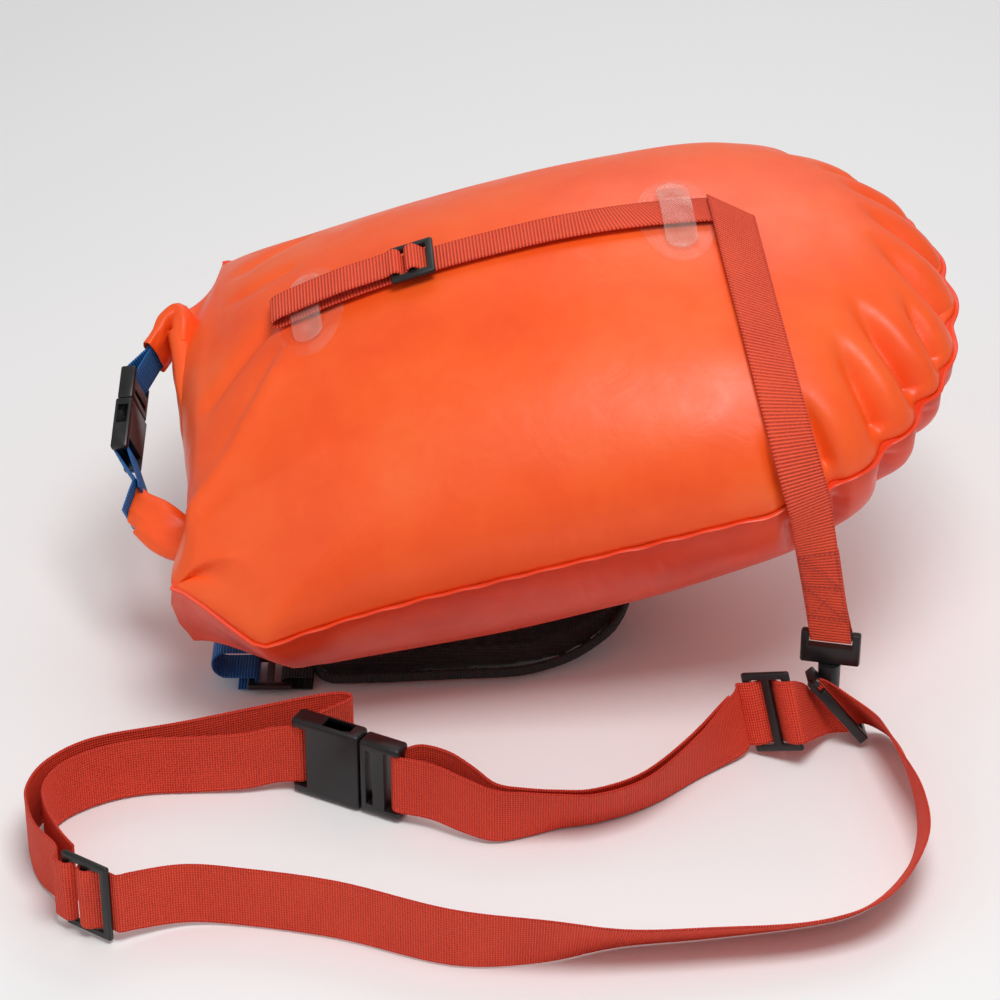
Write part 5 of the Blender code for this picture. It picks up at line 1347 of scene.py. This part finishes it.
def anchorEnd(x, y):
    # where an adjuster strap meets the bag, under the lowest film that it covers
    places = [(x + harness["anchorLength"] * a, y + narrow * b) for a in (0, 0.5) for b in (-0.5, 0, 0.5)]
    height = min(underside(*place) for place in places)
    level = height - 0.0024 - harness["anchorSheet"] - narrowSheet / 2
    return Vector((x + harness["anchorLength"] / 2, y, level))


def anchorPatch(name, x, y, node):
    # a welded piece of the bag's own film, with rounded corners and a pressed border
    points = []
    count = 18
    for layer in (0, 1):
        for a in range(count + 1):
            for b in range(count + 1):
                u, v = 2 * a / count - 1, 2 * b / count - 1
                pull = 1 - 0.10 * (abs(u) * abs(v)) ** 3
                spot = (x + u * pull * harness["anchorLength"] / 2, y + v * pull * harness["anchorWidth"] / 2)
                border = 0.0004 * math.exp(-((max(abs(u), abs(v)) - 0.84) / 0.05) ** 2)
                points.append(drawn(*spot, underside(*spot) - 0.0010 - layer * (0.0007 - border)))
    width = count + 1
    half = width * width
    faces = gridFaces(width, width, 0, True) + gridFaces(width, width, half)
    border = [k for k in range(count)] + [count + width * k for k in range(count)]
    border += [half - 1 - k for k in range(count)] + [half - 1 - count - width * k for k in range(count)]
    for index, a in enumerate(border):
        b = border[(index + 1) % len(border)]
        faces.append((a, b, b + half, a + half))
    # the anchors wear the darker copy of the bag's film, which is painted shade
    dress(addMesh(name, points, faces, None, 50), paintedShadeFilm, nodes=[node])


def harnessEnd(end, side):
    # the ladder lock's two straps and the two anchors of one shoulder strap
    x = harness["lockPlace"]
    y = bagMiddle(x) + side * harness["lockSide"]
    radius = wrapRadius(narrowSlider["bar"], narrowSlider["thickness"], narrowSheet)
    level = radius + narrowSheet / 2 + webbings["gap"]
    half = Vector((0, narrow / 2, 0))
    up, ahead = Vector((0, 0, 1)), Vector((1, 0, 0))
    barReach = narrowSlider["bar"] + narrowSlider["slot"]
    node = "_" + end.lower()

    def row(place, height):
        return bandRow(Vector((place, y, height)), half)

    def strap(name, rows, kind, nodeName):
        webbingBand(name + end, [(drawn(*a), drawn(*b)) for a, b in rows], kind, nodeName + node, steps=2)

    right = Vector((x + barReach, y, level))
    edge = padStations[0][0] - 0.0006
    rows = [row(edge + 0.003, level + radius), row(right.x + radius, level + radius)]
    rows += roundBar(right, up, -ahead, radius, half)
    rows += [row(right.x + radius, level - radius), row(edge + 0.003, level - radius)]
    strap("padStrap", rows, "black", "pad_strap")
    left = Vector((x - barReach, y, level))
    rows = [row(left.x - 2 * radius, level - radius)]
    rows += roundBar(left, -up, ahead, radius, half)
    stop = anchorEnd(x - harness["anchorReach"], y)
    turn = (stop.z - level - radius) / 2
    centre = Vector((x - harness["adjusterReach"], y, level + radius + turn))
    rows += roundBar(centre, -up, -ahead, turn, half) + [bandRow(stop, half)]
    strap("adjusterStrap", rows, "blue", "adjuster_strap")
    anchorPatch("lowerAnchor" + end, x - harness["anchorReach"] + harness["anchorLength"] / 2 + 0.0006, y,
                "lower_anchor" + node)
    x, out = padStations[-2][0], padStations[-2][1]
    y = bagMiddle(x) + side * (out - harness["padWidth"] / 2)
    anchorPatch("upperAnchor" + end, x + harness["anchorLength"] * 1.2, y, "upper_anchor" + node)


for end, side in (("Near", -1), ("Far", 1)):
    padBody("shoulderPad" + end, side, "shoulder_pad_" + end.lower())
    harnessEnd(end, side)
print("harness made")

# The moulded buckles, sliders and rings, with the softened edges that a mould leaves.

moulded = {"edge": 0.00055, "segments": 2, "sharp": 35}


def softenEdges(node, body):
    mesh = node.data.copy()
    shape = bmesh.new()
    shape.from_mesh(mesh)
    bmesh.ops.remove_doubles(shape, verts=shape.verts, dist=0.000005)
    bmesh.ops.dissolve_limit(shape, angle_limit=math.radians(1), verts=shape.verts, edges=shape.edges)
    shape.to_mesh(mesh)
    shape.free()
    mesh.materials.clear()
    first, *words = node.name.split("_")
    made = link(bpy.data.objects.new(first + "".join(word.capitalize() for word in words), mesh))
    edge = made.modifiers.new("softEdge", "BEVEL")
    edge.width = moulded["edge"]
    edge.segments = moulded["segments"]
    edge.limit_method = "ANGLE"
    edge.angle_limit = math.radians(moulded["sharp"])
    edge.use_clamp_overlap = True
    applyModifiers(made)
    dress(tidyMesh(made, 25), blackPlastic, body, [node.name])


bodyOfNode = {node: body for body, nodes in frame["record"]["behaviour"]["bodies"].items() for node in nodes}
slotOfNode = {item["node"]: item["material_slot"] for item in frame["record"]["subparts"]}
for name in sorted(slotOfNode):
    if slotOfNode[name] == "black_plastic":
        softenEdges(frame["nodes"][name], bodyOfNode[name])
print("moulded pieces softened")

# The CAD solids that keep their shape get their finish.

finishes = {
    # the rear skin gets the darker copy of the orange film, as painted shade
    "black_plastic": blackPlastic, "clear_film": clearFilm, "front_skin": orangeFilm, "rear_skin": paintedShadeFilm,
    "sleeve_film": greySheet, "stiffener": greySheet, "red_webbing": redWebbing, "blue_webbing": blueWebbing,
    "black_webbing": blackWebbing, "pad_cover": padMesh, "collar_plastic": blueCollar, "pin_steel": pinSteel,
}
for name, node in frame["nodes"].items():
    for place in range(len(node.material_slots)):
        node.material_slots[place].material = finishes[slotOfNode[name]]
print("solids painted")

# The floor, the lights and the camera.

studio = {
    "target": drawn(0, 0, 0.10), "distance": 2.0, "elevation": 32.0, "lens": 120.0, "shift": 0.06,
    "floorColour": (0.93, 0.93, 0.93), "floorReach": 6.0, "world": 0.36,
    # place, energy and size
    "keyLight": ((0.25, -0.65, 1.9), 21, 0.8),
    "fillLight": ((-1.4, -0.8, 1.0), 2.5, 1.4),
    "backLight": ((0.3, 1.4, 1.5), 7, 1.2),
}


def addStudio():
    floorMesh = bpy.data.meshes.new("studioFloor")
    reach = studio["floorReach"]
    corners = [(-reach, -reach, 0), (reach, -reach, 0), (reach, reach, 0), (-reach, reach, 0)]
    floorMesh.from_pydata(corners, [], [(0, 1, 2, 3)])
    floor = link(bpy.data.objects.new("studioFloor", floorMesh))
    floor.location.z = -0.0005
    floor.data.materials.append(startMaterial("paleFloor", studio["floorColour"], 0.9)[0])
    world = bpy.data.worlds.new("studioWorld")
    bpy.context.scene.world = world
    world.use_nodes = True
    background = world.node_tree.nodes["Background"]
    background.inputs["Color"].default_value = (1, 1, 1, 1)
    background.inputs["Strength"].default_value = studio["world"]
    for name in ("keyLight", "fillLight", "backLight"):
        place, energy, size = studio[name]
        lamp = bpy.data.lights.new(name, "AREA")
        lamp.energy = energy
        lamp.size = size
        obj = link(bpy.data.objects.new(name, lamp))
        obj.location = place
        obj.rotation_euler = (Vector(place) - Vector((0, 0, 0.08))).to_track_quat("Z", "Y").to_euler()
    tilt = math.radians(studio["elevation"])
    away = Vector((0, -math.cos(tilt), math.sin(tilt)))
    camera = bpy.data.cameras.new("photoCamera")
    camera.lens = studio["lens"]
    camera.sensor_width = 36
    camera.shift_y = studio["shift"]
    camera.clip_start = 0.05
    obj = link(bpy.data.objects.new("photoCamera", camera))
    obj.location = studio["target"] + away * studio["distance"]
    obj.rotation_euler = (-away).to_track_quat("-Z", "Y").to_euler()
    bpy.context.scene.camera = obj
    bpy.context.scene.view_settings.view_transform = "Standard"


addStudio()
print("studio set")
